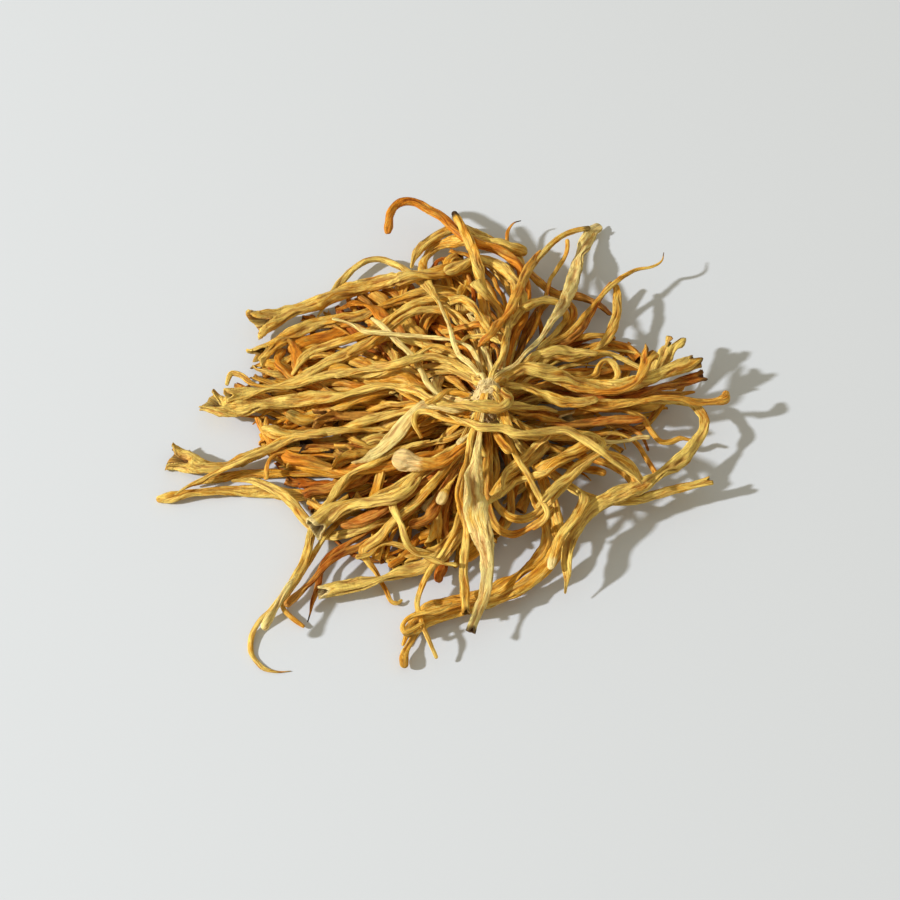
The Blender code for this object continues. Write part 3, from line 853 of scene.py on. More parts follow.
@dataclass(frozen=True)
class StalkFinish:
    """The finish of one colour of stalk.

    Attributes:
        name: Name of the finish, which is also its slot.
        pale: Colour of bleached flesh.
        body: Colour of the flesh.
        deep: Colour of painted shade in folds and between fine ridges, and of dull patches and specks.
        gloss: Roughness where it is smoothest.
        relief: Strength of the fine wrinkles.
    """

    name: str
    pale: Colour
    body: Colour
    deep: Colour
    gloss: float = 0.46
    relief: float = 0.9

    def make(self, effects: Effects) -> bpy.types.Material:
        """The material."""
        material = bpy.data.materials.new(self.name + "_flesh")
        material.use_nodes = True
        bench = Bench(material.node_tree)
        shader = material.node_tree.nodes["Principled BSDF"]
        grain = bench.mark("grain", vector=True)
        streaks = bench.group(effects.streaks, grain=grain)
        out = streaks.outputs
        groove = bench.mark("groove")
        flesh = bench.group(effects.flesh, pale=self.pale, body=self.body, deep=self.deep, fibres=out["Fibres"],
                            patches=out["Patches"], specks=out["Specks"], ridges=out["Ridges"], groove=groove,
                            tone=bench.mark("tone"))
        wool_tips_and_shade = bench.group(effects.wool_tips_and_shade, colour=flesh.outputs[0], fibres=out["Fibres"], patches=out["Patches"],
                           wool=bench.mark("wool"), tip=bench.mark("tip"), inside=bench.mark("inside"),
                           wool_colour=WOOL_END, tip_colour=TIP_DARK, hollow_colour=PAINTED_HOLLOW_SHADE)
        bench.put(shader.inputs["Base Color"], wool_tips_and_shade.outputs[0])
        bench.put(shader.inputs["Roughness"], bench.ramp(out["Patches"], 0.3, 0.7, (self.gloss + 0.2, self.gloss)))
        bump = bench.add("ShaderNodeBump")
        bump.inputs["Strength"].default_value = self.relief
        bump.inputs["Distance"].default_value = 0.0004
        bench.put(bump.inputs["Height"], out["Height"])
        bench.put(shader.inputs["Normal"], bump.outputs[0])
        shader.inputs["Subsurface Weight"].default_value = 0.08
        shader.inputs["Subsurface Radius"].default_value = (1.0, 0.45, 0.12)
        shader.inputs["Subsurface Scale"].default_value = 0.0003
        shader.inputs["IOR"].default_value = 1.42
        shader.inputs["Specular IOR Level"].default_value = 0.28
        return material


WOOL_PALE = linear(238, 209, 140)
WOOL_SHADE = linear(150, 98, 38)
WOOL_END = linear(245, 220, 154)
TIP_DARK = linear(58, 38, 20)
# Painted shade: the dark brown laid inside torn ends and in the base's pits, where shade falls.
PAINTED_HOLLOW_SHADE = linear(70, 36, 12)


@dataclass(frozen=True)
class WoolFinish:
    """The finish of the woolly base.

    Attributes:
        pale: Colour of the strands.
        shade: Colour of painted shade in the pits between them, and of darker patches.
    """

    pale: Colour = WOOL_PALE
    shade: Colour = WOOL_SHADE

    def make(self, effects: Effects) -> bpy.types.Material:
        """The material."""
        material = bpy.data.materials.new("base_wool")
        material.use_nodes = True
        bench = Bench(material.node_tree)
        shader = material.node_tree.nodes["Principled BSDF"]
        streaks = bench.group(effects.streaks, grain=bench.mark("grain", vector=True))
        out = streaks.outputs
        share = bench.math("ADD", bench.math("MULTIPLY", out["Fibres"], 0.25), bench.math("MULTIPLY", out["Patches"], 0.7))
        # The pits' lower tone and their mark pull the colour toward the painted shade; the strands' own tone is their
        # colour.
        share = bench.math("ADD", share, bench.math("MULTIPLY", bench.math("SUBTRACT", bench.mark("tone"), 0.5), 0.8))
        share = bench.math("SUBTRACT", share, bench.math("MULTIPLY", bench.mark("groove"), 0.7))
        colour = bench.mix(bench.ramp(share, 0.1, 0.6), self.shade, self.pale)
        # Painted shade in the deepest pits.
        colour = bench.mix(bench.ramp(bench.mark("inside"), 0.1, 0.9), colour, PAINTED_HOLLOW_SHADE)
        bench.put(shader.inputs["Base Color"], colour)
        bench.put(shader.inputs["Roughness"], bench.ramp(out["Fibres"], 0.3, 0.7, (0.95, 0.78)))
        bump = bench.add("ShaderNodeBump")
        bump.inputs["Strength"].default_value = 0.8
        bump.inputs["Distance"].default_value = 0.0003
        bench.put(bump.inputs["Height"], out["Height"])
        bench.put(shader.inputs["Normal"], bump.outputs[0])
        shader.inputs["Sheen Weight"].default_value = 0.25
        shader.inputs["Sheen Roughness"].default_value = 0.5
        return material


@dataclass
class Heap:
    """The stalks laid so far, as round samples that a new twig keeps clear of.

    Attributes:
        centres: Sample places.
        radii: Radius of each sample.
    """

    centres: list[np.ndarray] = field(default_factory=list)
    radii: list[np.ndarray] = field(default_factory=list)

    def add(self, spine: Spine) -> None:
        """Take up a stalk."""
        fine = spine.refined(0.8)
        self.centres.append(fine.points)
        self.radii.append(0.36 * fine.widths)

    def room(self, places: np.ndarray) -> np.ndarray:
        """How far each place is from the nearest stalk's surface."""
        centres, radii = np.concatenate(self.centres), np.concatenate(self.radii)
        tree = KDTree(len(centres))
        for k, centre in enumerate(centres):
            tree.insert(centre, k)
        tree.balance()
        free = [min(away - radii[k] for _, k, away in tree.find_n(place, 8)) for place in places.reshape(-1, 3)]
        return np.array(free).reshape(places.shape[:-1])

    def top(self, choices: np.ndarray, radius: float) -> np.ndarray:
        """The lowest height at each station with nothing above it on its sight line."""
        blocked = self.room(choices) < 0.8 * radius
        count = choices.shape[1]
        last = np.where(blocked.any(1), count - 1 - blocked[:, ::-1].argmax(1), -1)
        level = np.clip(last + 1, 0, count - 1)
        return np.maximum(choices[np.arange(len(choices)), level, 2], radius)

    def threaded(self, choices: np.ndarray, wanted: np.ndarray, radius: float,
                 roof: np.ndarray | float = 40.0, pull: float = 0.02) -> np.ndarray:
        """A run through the heap that keeps clear of what is laid.

        Args:
            choices: Places a twig may take, by station and by level, with the lowest level first.
            wanted: Height it would take at each station if nothing were in the way.
            radius: Half the twig's thickness.
            roof: Height at each station that it should stay under.
            pull: How strongly it keeps to the wanted height.

        Returns:
            One place for each station.
        """
        heights = choices[..., 2]
        crowding = np.maximum(radius + 0.1 - self.room(choices), 0.0)
        low = np.maximum(radius + 0.05 - heights, 0.0)
        high = np.maximum(heights - np.broadcast_to(roof, len(choices))[:, None], 0.0)
        cost = 9.0 * crowding**2 + 40.0 * low**2 + 2.0 * high**2 + pull * (heights - wanted[:, None]) ** 2
        total, back = cost[0], []
        for k in range(1, len(choices)):
            gap = max(float(np.linalg.norm(choices[k, 0] - choices[k - 1, 0])), 0.3)
            slope = (heights[k][:, None] - heights[k - 1][None, :]) / gap
            step = total[None, :] + 5.0 * slope**2 + 60.0 * np.maximum(np.abs(slope) - 0.8, 0.0)
            back.append(step.argmin(1))
            total = cost[k] + step.min(1)
        level = [int(total.argmin())]
        for choice in reversed(back):
            level.append(int(choice[level[-1]]))
        picked = choices[np.arange(len(choices)), level[::-1]]
        for _ in range(2):
            picked[1:-1, 2] = 0.25 * picked[:-2, 2] + 0.5 * picked[1:-1, 2] + 0.25 * picked[2:, 2]
        return picked


def shade_piece(thing: bpy.types.Object, slot: str, node: str | None = None) -> None:
    """Hang a piece on the frame's body, hide the frame's node that it stands for, and log its slot.

    Args:
        thing: The piece.
        slot: Its material slot in the record.
        node: The frame's node that it replaces, if any.
    """
    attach(thing, BODY)
    if node:
        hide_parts(node)
    LOG.info("%s: %d faces, slot %s", thing.name, len(thing.data.polygons), slot)


HABITS = {
    "stalk_01": Habit(Ending.TAPER, tone=0.35, finish="gold_stalk"),
    "stalk_02": Habit(Ending.CLUB, tone=0.55, fold=0.26, plump=0.6),
    "stalk_03": Habit(Ending.TORN, tone=0.6, fold=0.3, flare=0.9, flare_reach=11, plump=0.6, tip=0.3),
    "stalk_07": Habit(Ending.LEAFY, tone=0.45, fold=0.32, flare=0.35),
    "stalk_08": Habit(Ending.TAPER, tone=0.8, wide=1.2, plump=0.8, finish="gold_stalk"),
    "stalk_09": Habit(Ending.TORN, tone=0.6, fold=0.16, flare=0.5, flare_reach=9, ring=38.0, wide=1.2, plump=0.7),
    "stalk_10": Habit(Ending.TAPER, tone=0.7, fold=0.16, wide=1.35, plump=0.8),
    "stalk_11": Habit(Ending.CLUB, tone=0.1, fold=0.12, plump=0.95, wide=1.3, tip=0.3),
    "stalk_12": Habit(Ending.CLUB, tone=0.35, tip=0.8, slim=0.55, fold=0.28),
    "stalk_13": Habit(Ending.CLUB, tone=0.9, plump=0.8),
    "stalk_15": Habit(Ending.TAPER, tone=0.45, tip=0.7, plump=0.85),
    "stalk_16": Habit(Ending.LEAFY, tone=0.9, fold=0.34, flare=0.5, flare_reach=10, tip=0.3, finish="gold_stalk"),
    "stalk_17": Habit(Ending.TORN, tone=0.35, tip=0.6),
    "stalk_19": Habit(Ending.TORN, tone=0.7, fold=0.3),
    "stalk_20": Habit(Ending.TAPER, tone=0.3, fold=0.34, plump=0.42, curl=0.5, wide=1.15, finish="gold_stalk"),
    "stalk_21": Habit(Ending.CLUB, tone=0.35, fold=0.34, plump=0.42, curl=0.5, wide=1.15, tip=0.5,
                      finish="gold_stalk"),
    "stalk_22": Habit(Ending.TAPER, tone=0.8, fold=0.34, plump=0.45, curl=0.5, tip=0.35),
    "stalk_23": Habit(Ending.ROUND, tone=0.65, wool_end=2.0),
    "stalk_25": Habit(Ending.TAPER, tone=0.4, tip=1.0),
    "stalk_26": Habit(Ending.TAPER, tone=0.65, fold=0.2, tip=0.5),
    "stalk_27": Habit(Ending.TORN, tone=0.7, fold=0.28, wide=1.3, flare=0.2, wool_end=1.6, tip=0.3,
                      finish="gold_stalk"),
    "stalk_30": Habit(Ending.TORN, tone=0.85, plump=0.5, wide=1.35, wool_end=1.5),
    "stalk_32": Habit(tone=0.75, twist=1.4, fold=0.34, plump=0.5, wide=1.2, finish="gold_stalk"),
    "stalk_37": Habit(Ending.CUT, tone=0.4, plump=0.7),
    "stalk_38": Habit(Ending.ROUND, tone=0.6, fold=0.26),
    "stalk_41": Habit(Ending.KNOB, tone=0.6, fold=0.2),
    "stalk_42": Habit(Ending.TAPER, tone=1.0, fold=0.1, plump=0.3, curl=0.35, sunk=0.05, wide=1.35, twist=0.3),
    "stalk_43": Habit(tone=0.4, fold=0.34, plump=0.8, wide=1.35, flare=0.4, flare_reach=6.0, wool_end=4.4,
                      finish="orange_stalk"),
    "stalk_44": Habit(Ending.ROUND, tone=0.85),
    "stalk_46": Habit(Ending.TORN, tone=0.45, fold=0.3, tip=0.5, finish="gold_stalk"),
    "stalk_47": Habit(Ending.TORN, tone=0.75, fold=0.2, plump=0.4, curl=0.5, sunk=0.3, tip=0.7, wide=1.3,
                      slim=0.6, flare=-0.35, flare_reach=26.0),
    "stalk_49": Habit(Ending.LEAFY, tone=0.45, flare=0.4, wool_end=1.0),
    "stalk_51": Habit(Ending.TORN, tone=0.72, fold=0.3, flare=0.7, flare_reach=18, plump=0.55, curl=0.4, tip=0.35,
                      wide=1.2),
    "stalk_52": Habit(Ending.TORN, tone=0.7, fold=0.3, flare=0.3, wide=1.15),
    "stalk_53": Habit(Ending.KNOB, tone=0.55, fold=0.22),
    "stalk_54": Habit(Ending.CUT, tone=0.6),
    "stalk_55": Habit(Ending.TORN, tone=0.6, fold=0.18, plump=0.75, wide=1.15, flare=0.35, flare_reach=14, tip=0.6),
    "stalk_56": Habit(Ending.ROUND, tone=0.8, fold=0.3, plump=0.45, wide=1.25, slim=0.45, wool_end=2.5),
    "stalk_57": Habit(Ending.ROUND, tone=0.6, tip=0.6),
    "stalk_58": Habit(Ending.ROUND, tone=0.9, plump=0.8, fold=0.3),
    "stalk_59": Habit(tone=0.8, plump=0.8, wide=0.75, fold=0.3),
}


class Cover:
    """Which cells of the picture the stalks cover, inside the heap's outline."""

    CELL = 3.0
    OUTLINE = ("430,232 466,232 492,262 516,288 530,318 560,326 596,332 625,345 650,350 690,372 688,398 655,415 650,450 "
               "636,440 606,456 584,478 562,494 540,510 515,516 500,538 470,556 440,576 400,572 372,562 334,540 306,520 "
               "310,495 290,475 258,455 262,425 236,402 240,385 262,365 270,350 296,335 300,318 350,292 400,285 "
               "410,262")

    def __init__(self, sight: Sight) -> None:
        """Mark the cells inside the outline, none of them covered."""
        self.sight = sight
        count = int(sight.side / self.CELL)
        rows, columns = (np.mgrid[0:count, 0:count] + 0.5) * self.CELL
        ring = np.array([[float(part) for part in pair.split(",")] for pair in self.OUTLINE.split()])
        self.inside = np.zeros((count, count), bool)
        for (x1, y1), (x2, y2) in zip(ring, np.roll(ring, -1, axis=0)):
            if y1 != y2:
                crossing = x1 + (rows - y1) * (x2 - x1) / (y2 - y1)
                self.inside ^= ((y1 > rows) != (y2 > rows)) & (columns < crossing)
        self.covered = np.zeros((count, count), bool)

    def _cells(self, spine: Spine) -> tuple[np.ndarray, np.ndarray]:
        """Rows and columns of the cells under a stalk."""
        fine = spine.refined(0.6)
        spots = self.sight.seen(fine.points)
        reach = 0.42 * fine.widths[:, None, None] / self.sight.scale
        steps = np.array([[a, b] for a in (-1, 0, 1) for b in (-1, 0, 1)])
        cells = ((spots[:, None, :] + reach * steps) / self.CELL).astype(int).reshape(-1, 2)
        cells = cells.clip(0, len(self.covered) - 1)
        return cells[:, 1], cells[:, 0]

    def add(self, spine: Spine) -> None:
        """Cover what a stalk covers."""
        self.covered[self._cells(spine)] = True

    def gain(self, spine: Spine) -> float:
        """How much a stalk would newly cover, less a little for what is covered or outside."""
        under = np.zeros_like(self.covered)
        under[self._cells(spine)] = True
        fresh = (under & self.inside & ~self.covered).sum()
        return float(fresh - 0.25 * (under & self.covered).sum() - 1.5 * (under & ~self.inside).sum())

    def bare(self) -> np.ndarray:
        """Columns and rows of the bare cells inside the outline."""
        rows, columns = np.nonzero(self.inside & ~self.covered)
        return np.stack([columns + 0.5, rows + 0.5], -1) * self.CELL


@dataclass
class Stalks:
    """The stalks of the frame, skinned.

    Attributes:
        heap: Where they are taken up.
        heart: Middle of the base in plan.
        crown: Height of the base's crown.
        cover: What of the picture is covered.
        root: How far a low start is drawn into the base.
        wool: Length of wool on each start.
    """

    heap: Heap
    heart: np.ndarray
    crown: float
    cover: Cover
    root: float = 1.8
    wool: float = 1.4

    def habit(self, name: str, width: float) -> Habit:
        """How a stalk dried, by its name, or else by its width."""
        if name in HABITS:
            return HABITS[name]
        thin = width < 1.9
        return Habit(Ending.ROUND, tone=0.5, fold=0.18 if thin else 0.24, plump=0.78 if thin else 0.62)

    def build(self, finishes: dict[str, bpy.types.Material]) -> None:
        """Skin every stalk of the frame."""
        for name, node in sorted(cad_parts.items()):
            if not name.startswith("stalk"):
                continue
            read = FrameStalk(name, node)
            spine = read.spine(self.heart)
            self.heap.add(spine)
            self.cover.add(spine)
            shell = Shell()
            habit = self.habit(name, float(spine.widths.max()))
            skin = Skin(spine.rooted(self.heart, self.root, self.crown), habit, seed=int(name[-2:]), wool=self.wool)
            skin.add_to(shell)
            slot = habit.finish or read.slot
            shade_piece(shell.make(name.replace("stalk", "dried_stalk"), finishes[slot]), slot, name)


class Twig(Enum):
    """The finish of a twig."""

    PALE = "pale_stalk"
    GOLD = "gold_stalk"
    ORANGE = "orange_stalk"
    BROWN = "brown_stalk"


@dataclass(frozen=True)
class Route:
    """A thin stalk seen in the picture.

    Attributes:
        finish: Its finish.
        widths: Evenly spaced widths along it.
        height: Height it tends to at its free end.
        spots: Picture columns and rows, from the base outward.
        habit: How it dried.
        rise: How much higher it tends to start.
        over: Whether it lies on top of what it crosses.
        hidden: Share of it, from its start, that dips under what it crosses.
    """

    finish: Twig
    widths: tuple[float, ...]
    height: float
    spots: str
    habit: Habit = Habit(fold=0.16, plump=0.8)
    rise: float = 9.0
    over: bool = False
    hidden: float = 0.0


KNOBBLY = Habit(tone=0.9, plump=0.85, fold=0.3)
BLEACHED = Habit(Ending.TORN, tone=0.9, plump=0.7, fold=0.2)
WOOLLY_KNOB = Habit(Ending.KNOB, tone=0.95, plump=0.95, fold=0.1, wide=1.1, wool_end=1.8)
DARK_TIPPED = Habit(Ending.TAPER, tone=0.3, plump=0.85, fold=0.12, tip=0.8)
ROUTES = (
    Route(Twig.PALE, (1.5, 1.8, 2.0), 15, "494,384 491,371 488,360 484,350 480,336 476,325 472,313", BLEACHED, 5, True),
    Route(Twig.BROWN, (1.8, 2.4), 6, "545,424 580,424 612,420 640,419"),
    Route(Twig.ORANGE, (1.6, 1.4, 1.2), 3, "560,440 590,434 618,434 636,442 644,455 651,466 657,476"),
    Route(Twig.ORANGE, (2.0, 2.0), 2.5, "530,440 560,450 590,458 610,465 626,474 636,487"),
    Route(Twig.ORANGE, (1.2, 1.1, 0.9), 3, "508,340 512,312 513,285 510,260 507,241 509,230 514,223 520,221",
          DARK_TIPPED),
    Route(Twig.ORANGE, (1.2, 1.2), 3, "526,345 537,322 545,300 550,280 559,267 566,254 567,241"),
    Route(Twig.GOLD, (1.7, 1.7), 8, "545,378 575,380 594,376 600,365 609,361 617,368 617,379 609,384"),
    Route(Twig.ORANGE, (1.6, 2.0, 2.6), 9, "560,385 600,392 630,386 643,372 648,358 652,349",
          Habit(Ending.LEAFY, tone=0.4, fold=0.34, plump=0.5)),
    Route(Twig.BROWN, (1.8, 1.8), 2, "425,500 390,528 362,545 340,555 325,566 313,580 300,592 288,604"),
    Route(Twig.BROWN, (1.8, 2.4, 3.4), 5, "462,462 447,485 436,505 428,518 415,524"),
    Route(Twig.GOLD, (2.0, 2.2, 1.8), 9, "484,377 468,371 452,362 434,357 416,358 400,363 385,366 368,369 352,372 338,376",
          Habit(tone=0.75, fold=0.2), over=True),
    Route(Twig.GOLD, (1.5, 1.5), 14, "458,389 447,391 438,397 428,402"),
    Route(Twig.PALE, (1.2, 1.2), 5, "535,426 565,434 590,440 612,442 632,440 637,437 648,437", KNOBBLY),
    Route(Twig.GOLD, (1.2, 1.2), 9, "545,434 560,437 575,440 590,445 600,448"),
    Route(Twig.GOLD, (1.8, 2.2), 12, "492,428 500,440 508,450"),
    Route(Twig.GOLD, (1.4, 1.4), 12, "477,436 480,446 484,455"),
    Route(Twig.PALE, (1.2, 1.8), 3, "296,575 285,590 280,600 272,615 265,626", Habit(Ending.CLUB, tone=0.9)),
    Route(Twig.GOLD, (1.2, 2.2, 2.3, 1.9, 1.4), 12, "462,404 478,403 494,404 510,405 526,407 541,408 555,410",
          Habit(tone=0.85, fold=0.22), over=True),
    Route(Twig.GOLD, (1.1, 2.0, 2.4, 2.2, 1.9, 1.7, 1.5), 11,
          "446,414 462,421 482,426 502,429 516,433 532,433 550,431 566,431 580,438 594,446 607,455 620,465 631,474 "
          "640,482",
          Habit(tone=0.8, fold=0.22), over=True),
    Route(Twig.GOLD, (1.6, 2.5, 2.8, 2.2), 15, "496,386 510,385 526,388 542,394 558,400 576,403 594,400",
          Habit(tone=0.6, fold=0.34), over=True),
    Route(Twig.GOLD, (1.4, 3.0, 3.6, 3.6, 3.0, 2.2), 7,
          "616,430 600,439 586,446 571,453 557,460 543,469 530,479 517,490 505,502",
          Habit(Ending.TAPER, tone=0.75, fold=0.16, plump=0.75), 1),
    Route(Twig.GOLD, (1.4, 1.8, 1.9), 5, "612,444 598,455 583,466 569,478 556,488 544,500", Habit(tone=0.75), over=True),
    Route(Twig.GOLD, (1.2, 2.2, 2.3), 7, "556,428 546,437 535,448 523,459 510,468 503,478 503,487",
          Habit(Ending.TAPER, tone=0.85, fold=0.2), over=True),
    Route(Twig.GOLD, (1.2, 2.3, 2.4, 1.8), 5, "556,466 540,474 522,480 507,488 494,498 484,509",
          Habit(Ending.TAPER, tone=0.7, fold=0.22), over=True),
    Route(Twig.BROWN, (1.4, 2.4, 4.0, 3.4), 4, "440,490 416,502 396,512 378,520 362,527 350,531",
          Habit(Ending.LEAFY, tone=0.9, fold=0.3, plump=0.4), 2),
    Route(Twig.GOLD, (1.3, 2.4, 3.2, 3.5, 3.5, 3.4), 6,
          "440,462 428,469 419,476 412,486 400,495 384,500 366,503 346,508 328,517 313,529",
          Habit(Ending.TORN, tone=0.85, fold=0.2, plump=0.6, tip=0.3, wool_end=1.2), over=True, hidden=0.15),
    Route(Twig.GOLD, (1.2, 1.8, 2.2, 2.3), 6, "430,440 410,446 394,452 376,462 358,470 344,480 334,494 322,508",
          Habit(Ending.TAPER, tone=0.75, fold=0.2), over=True),
    Route(Twig.GOLD, (1.4, 2.2, 2.6, 3.0, 3.6, 3.2), 8,
          "500,340 514,320 523,302 519,288 509,275 496,264 481,260 466,264 450,270",
          Habit(Ending.ROUND, tone=0.7, fold=0.2), over=True, hidden=0.3),
    Route(Twig.GOLD, (1.2, 1.8, 2.6, 3.2, 3.0, 2.8), 6,
          "452,330 438,300 424,276 424,262 434,249 450,242 468,240 486,242 504,244 522,251",
          Habit(Ending.CLUB, tone=0.55, fold=0.18), over=True, hidden=0.35),
    Route(Twig.GOLD, (1.1, 1.4, 1.3), 4, "430,552 408,547 388,543 377,547 370,554 358,557", Habit(tone=0.7), 3),
    Route(Twig.PALE, (0.8, 1.2, 1.9), 6, "448,484 438,494 430,502 424,510", Habit(Ending.CUT, tone=1.0, wool_end=1.5),
          over=True),
    Route(Twig.GOLD, (1.6, 1.5, 1.2, 1.0), 2, "452,603 438,609 424,613 411,617 403,624 404,632 413,629 421,624",
          Habit(tone=0.4), 1),
    Route(Twig.GOLD, (1.5, 1.7, 1.5, 1.9), 2, "430,614 420,626 411,641 405,654 404,664",
          Habit(Ending.CLUB, tone=0.3, tip=0.4), 1),
    Route(Twig.PALE, (1.0, 1.8, 2.8), 15, "470,400 456,399 445,397 438,390 437,380 439,372",
          Habit(Ending.LEAFY, tone=0.9, fold=0.34, flare=0.3, tip=0.25, wool_end=5.0), over=True),
    Route(Twig.PALE, (0.7, 0.8, 1.0), 12, "474,428 469,434 464,439 459,443", WOOLLY_KNOB, over=True),
    Route(Twig.ORANGE, (0.8, 0.9, 2.0), 10, "458,474 450,484 445,492 441,500", WOOLLY_KNOB, over=True),
    Route(Twig.GOLD, (1.6, 2.2, 2.5), 11, "492,352 500,334 501,318 493,303 484,291 476,282",
          Habit(Ending.CUT, tone=0.85, fold=0.24), over=True),
    Route(Twig.GOLD, (1.4, 1.8, 2.3), 5, "536,350 556,334 566,318 558,304 545,300 534,303 525,307",
          Habit(Ending.CLUB, tone=0.7, fold=0.2), over=True),
    Route(Twig.ORANGE, (1.7, 2.2, 2.5, 2.0), 4, "538,352 562,332 574,314 562,298 545,287 528,272 512,258 493,244 476,232",
          Habit(tone=0.4, fold=0.24), 5),
    Route(Twig.ORANGE, (1.6, 1.9, 1.7), 4, "536,356 556,344 578,338 598,335 612,338", Habit(tone=0.55), 6),
    Route(Twig.BROWN, (1.5, 1.9, 1.6), 3, "544,352 566,342 582,328 592,312 600,298 611,284", Habit(tone=0.5), 4),
    Route(Twig.ORANGE, (1.7, 2.0, 3.2, 4.6), 6, "440,428 412,438 388,446 366,452 350,456 334,458",
          Habit(Ending.TORN, tone=0.6, fold=0.3, flare=0.5, flare_reach=8), 3),
    Route(Twig.BROWN, (1.7, 2.2, 3.2, 3.8), 5, "436,418 400,418 372,416 346,416 326,417 312,419",
          Habit(Ending.LEAFY, tone=0.85, fold=0.3, plump=0.4, flare=0.2), 5),
    Route(Twig.BROWN, (1.6, 2.2, 3.0), 4, "430,440 396,446 362,448 334,446 314,446 300,447",
          Habit(Ending.TORN, tone=0.4, tip=1.0, flare=0.3), 3),
    Route(Twig.GOLD, (1.5, 1.8, 2.2, 2.0), 5, "392,430 352,430 316,433 290,438 268,448 254,457 243,465",
          Habit(Ending.TAPER, tone=0.6, tip=0.5, fold=0.3), over=True),
    Route(Twig.GOLD, (1.2, 1.5, 1.4), 12, "470,360 452,351 436,346 424,350 415,356", Habit(tone=0.7), 3),
    Route(Twig.GOLD, (1.4, 1.7, 1.4), 8, "455,392 436,392 420,388 402,380 386,376 366,378", Habit(tone=0.6), 5),
    Route(Twig.BROWN, (1.2, 1.6, 1.3), 12, "498,370 500,360 497,349 491,341 497,335 503,341", Habit(tone=0.6), over=True),
    Route(Twig.GOLD, (1.0, 2.5, 2.7, 2.0), 12, "514,371 527,362 542,354 558,350 576,352 594,353",
          Habit(tone=0.9, fold=0.16), over=True, hidden=0.35),
    Route(Twig.GOLD, (1.2, 2.0, 2.2, 1.8), 9, "500,344 490,331 481,318 472,306 461,299 449,301",
          Habit(Ending.CUT, tone=0.6, fold=0.26), over=True),
    Route(Twig.ORANGE, (1.2, 1.9, 1.8, 1.4), 9, "510,336 498,328 486,324 472,325 456,329 443,332",
          Habit(tone=0.45, fold=0.28), over=True),
    Route(Twig.GOLD, (1.0, 1.6, 1.7, 1.3), 12, "506,345 496,340 484,336 471,338 459,343 448,345",
          Habit(tone=0.5, fold=0.28), over=True),
    Route(Twig.GOLD, (1.4, 1.8, 2.0, 2.0, 1.7, 1.2), 4,
          "420,424 380,427 345,430 315,435 290,441 268,449 250,457 234,464 216,473 200,481 184,489 176,494",
          Habit(Ending.TAPER, tone=0.65, fold=0.3), over=True, hidden=0.3),
    Route(Twig.GOLD, (1.4, 2.0, 2.6, 2.6, 2.0), 2,
          "430,505 390,520 352,532 326,536 311,527 300,513 288,499 272,488 252,481 234,481",
          Habit(Ending.TAPER, tone=0.7, fold=0.26), 4),
    Route(Twig.ORANGE, (1.3, 1.5, 1.3), 3, "330,450 305,450 285,451 272,456 267,466 266,478", Habit(tone=0.5), 3),
    Route(Twig.ORANGE, (1.4, 2.3, 2.5, 2.5, 2.2, 1.8), 9,
          "476,350 486,337 497,326 507,314 514,301 519,289 524,276 531,263 540,251",
          Habit(Ending.TAPER, tone=0.45, fold=0.24), over=True, hidden=0.1),
)


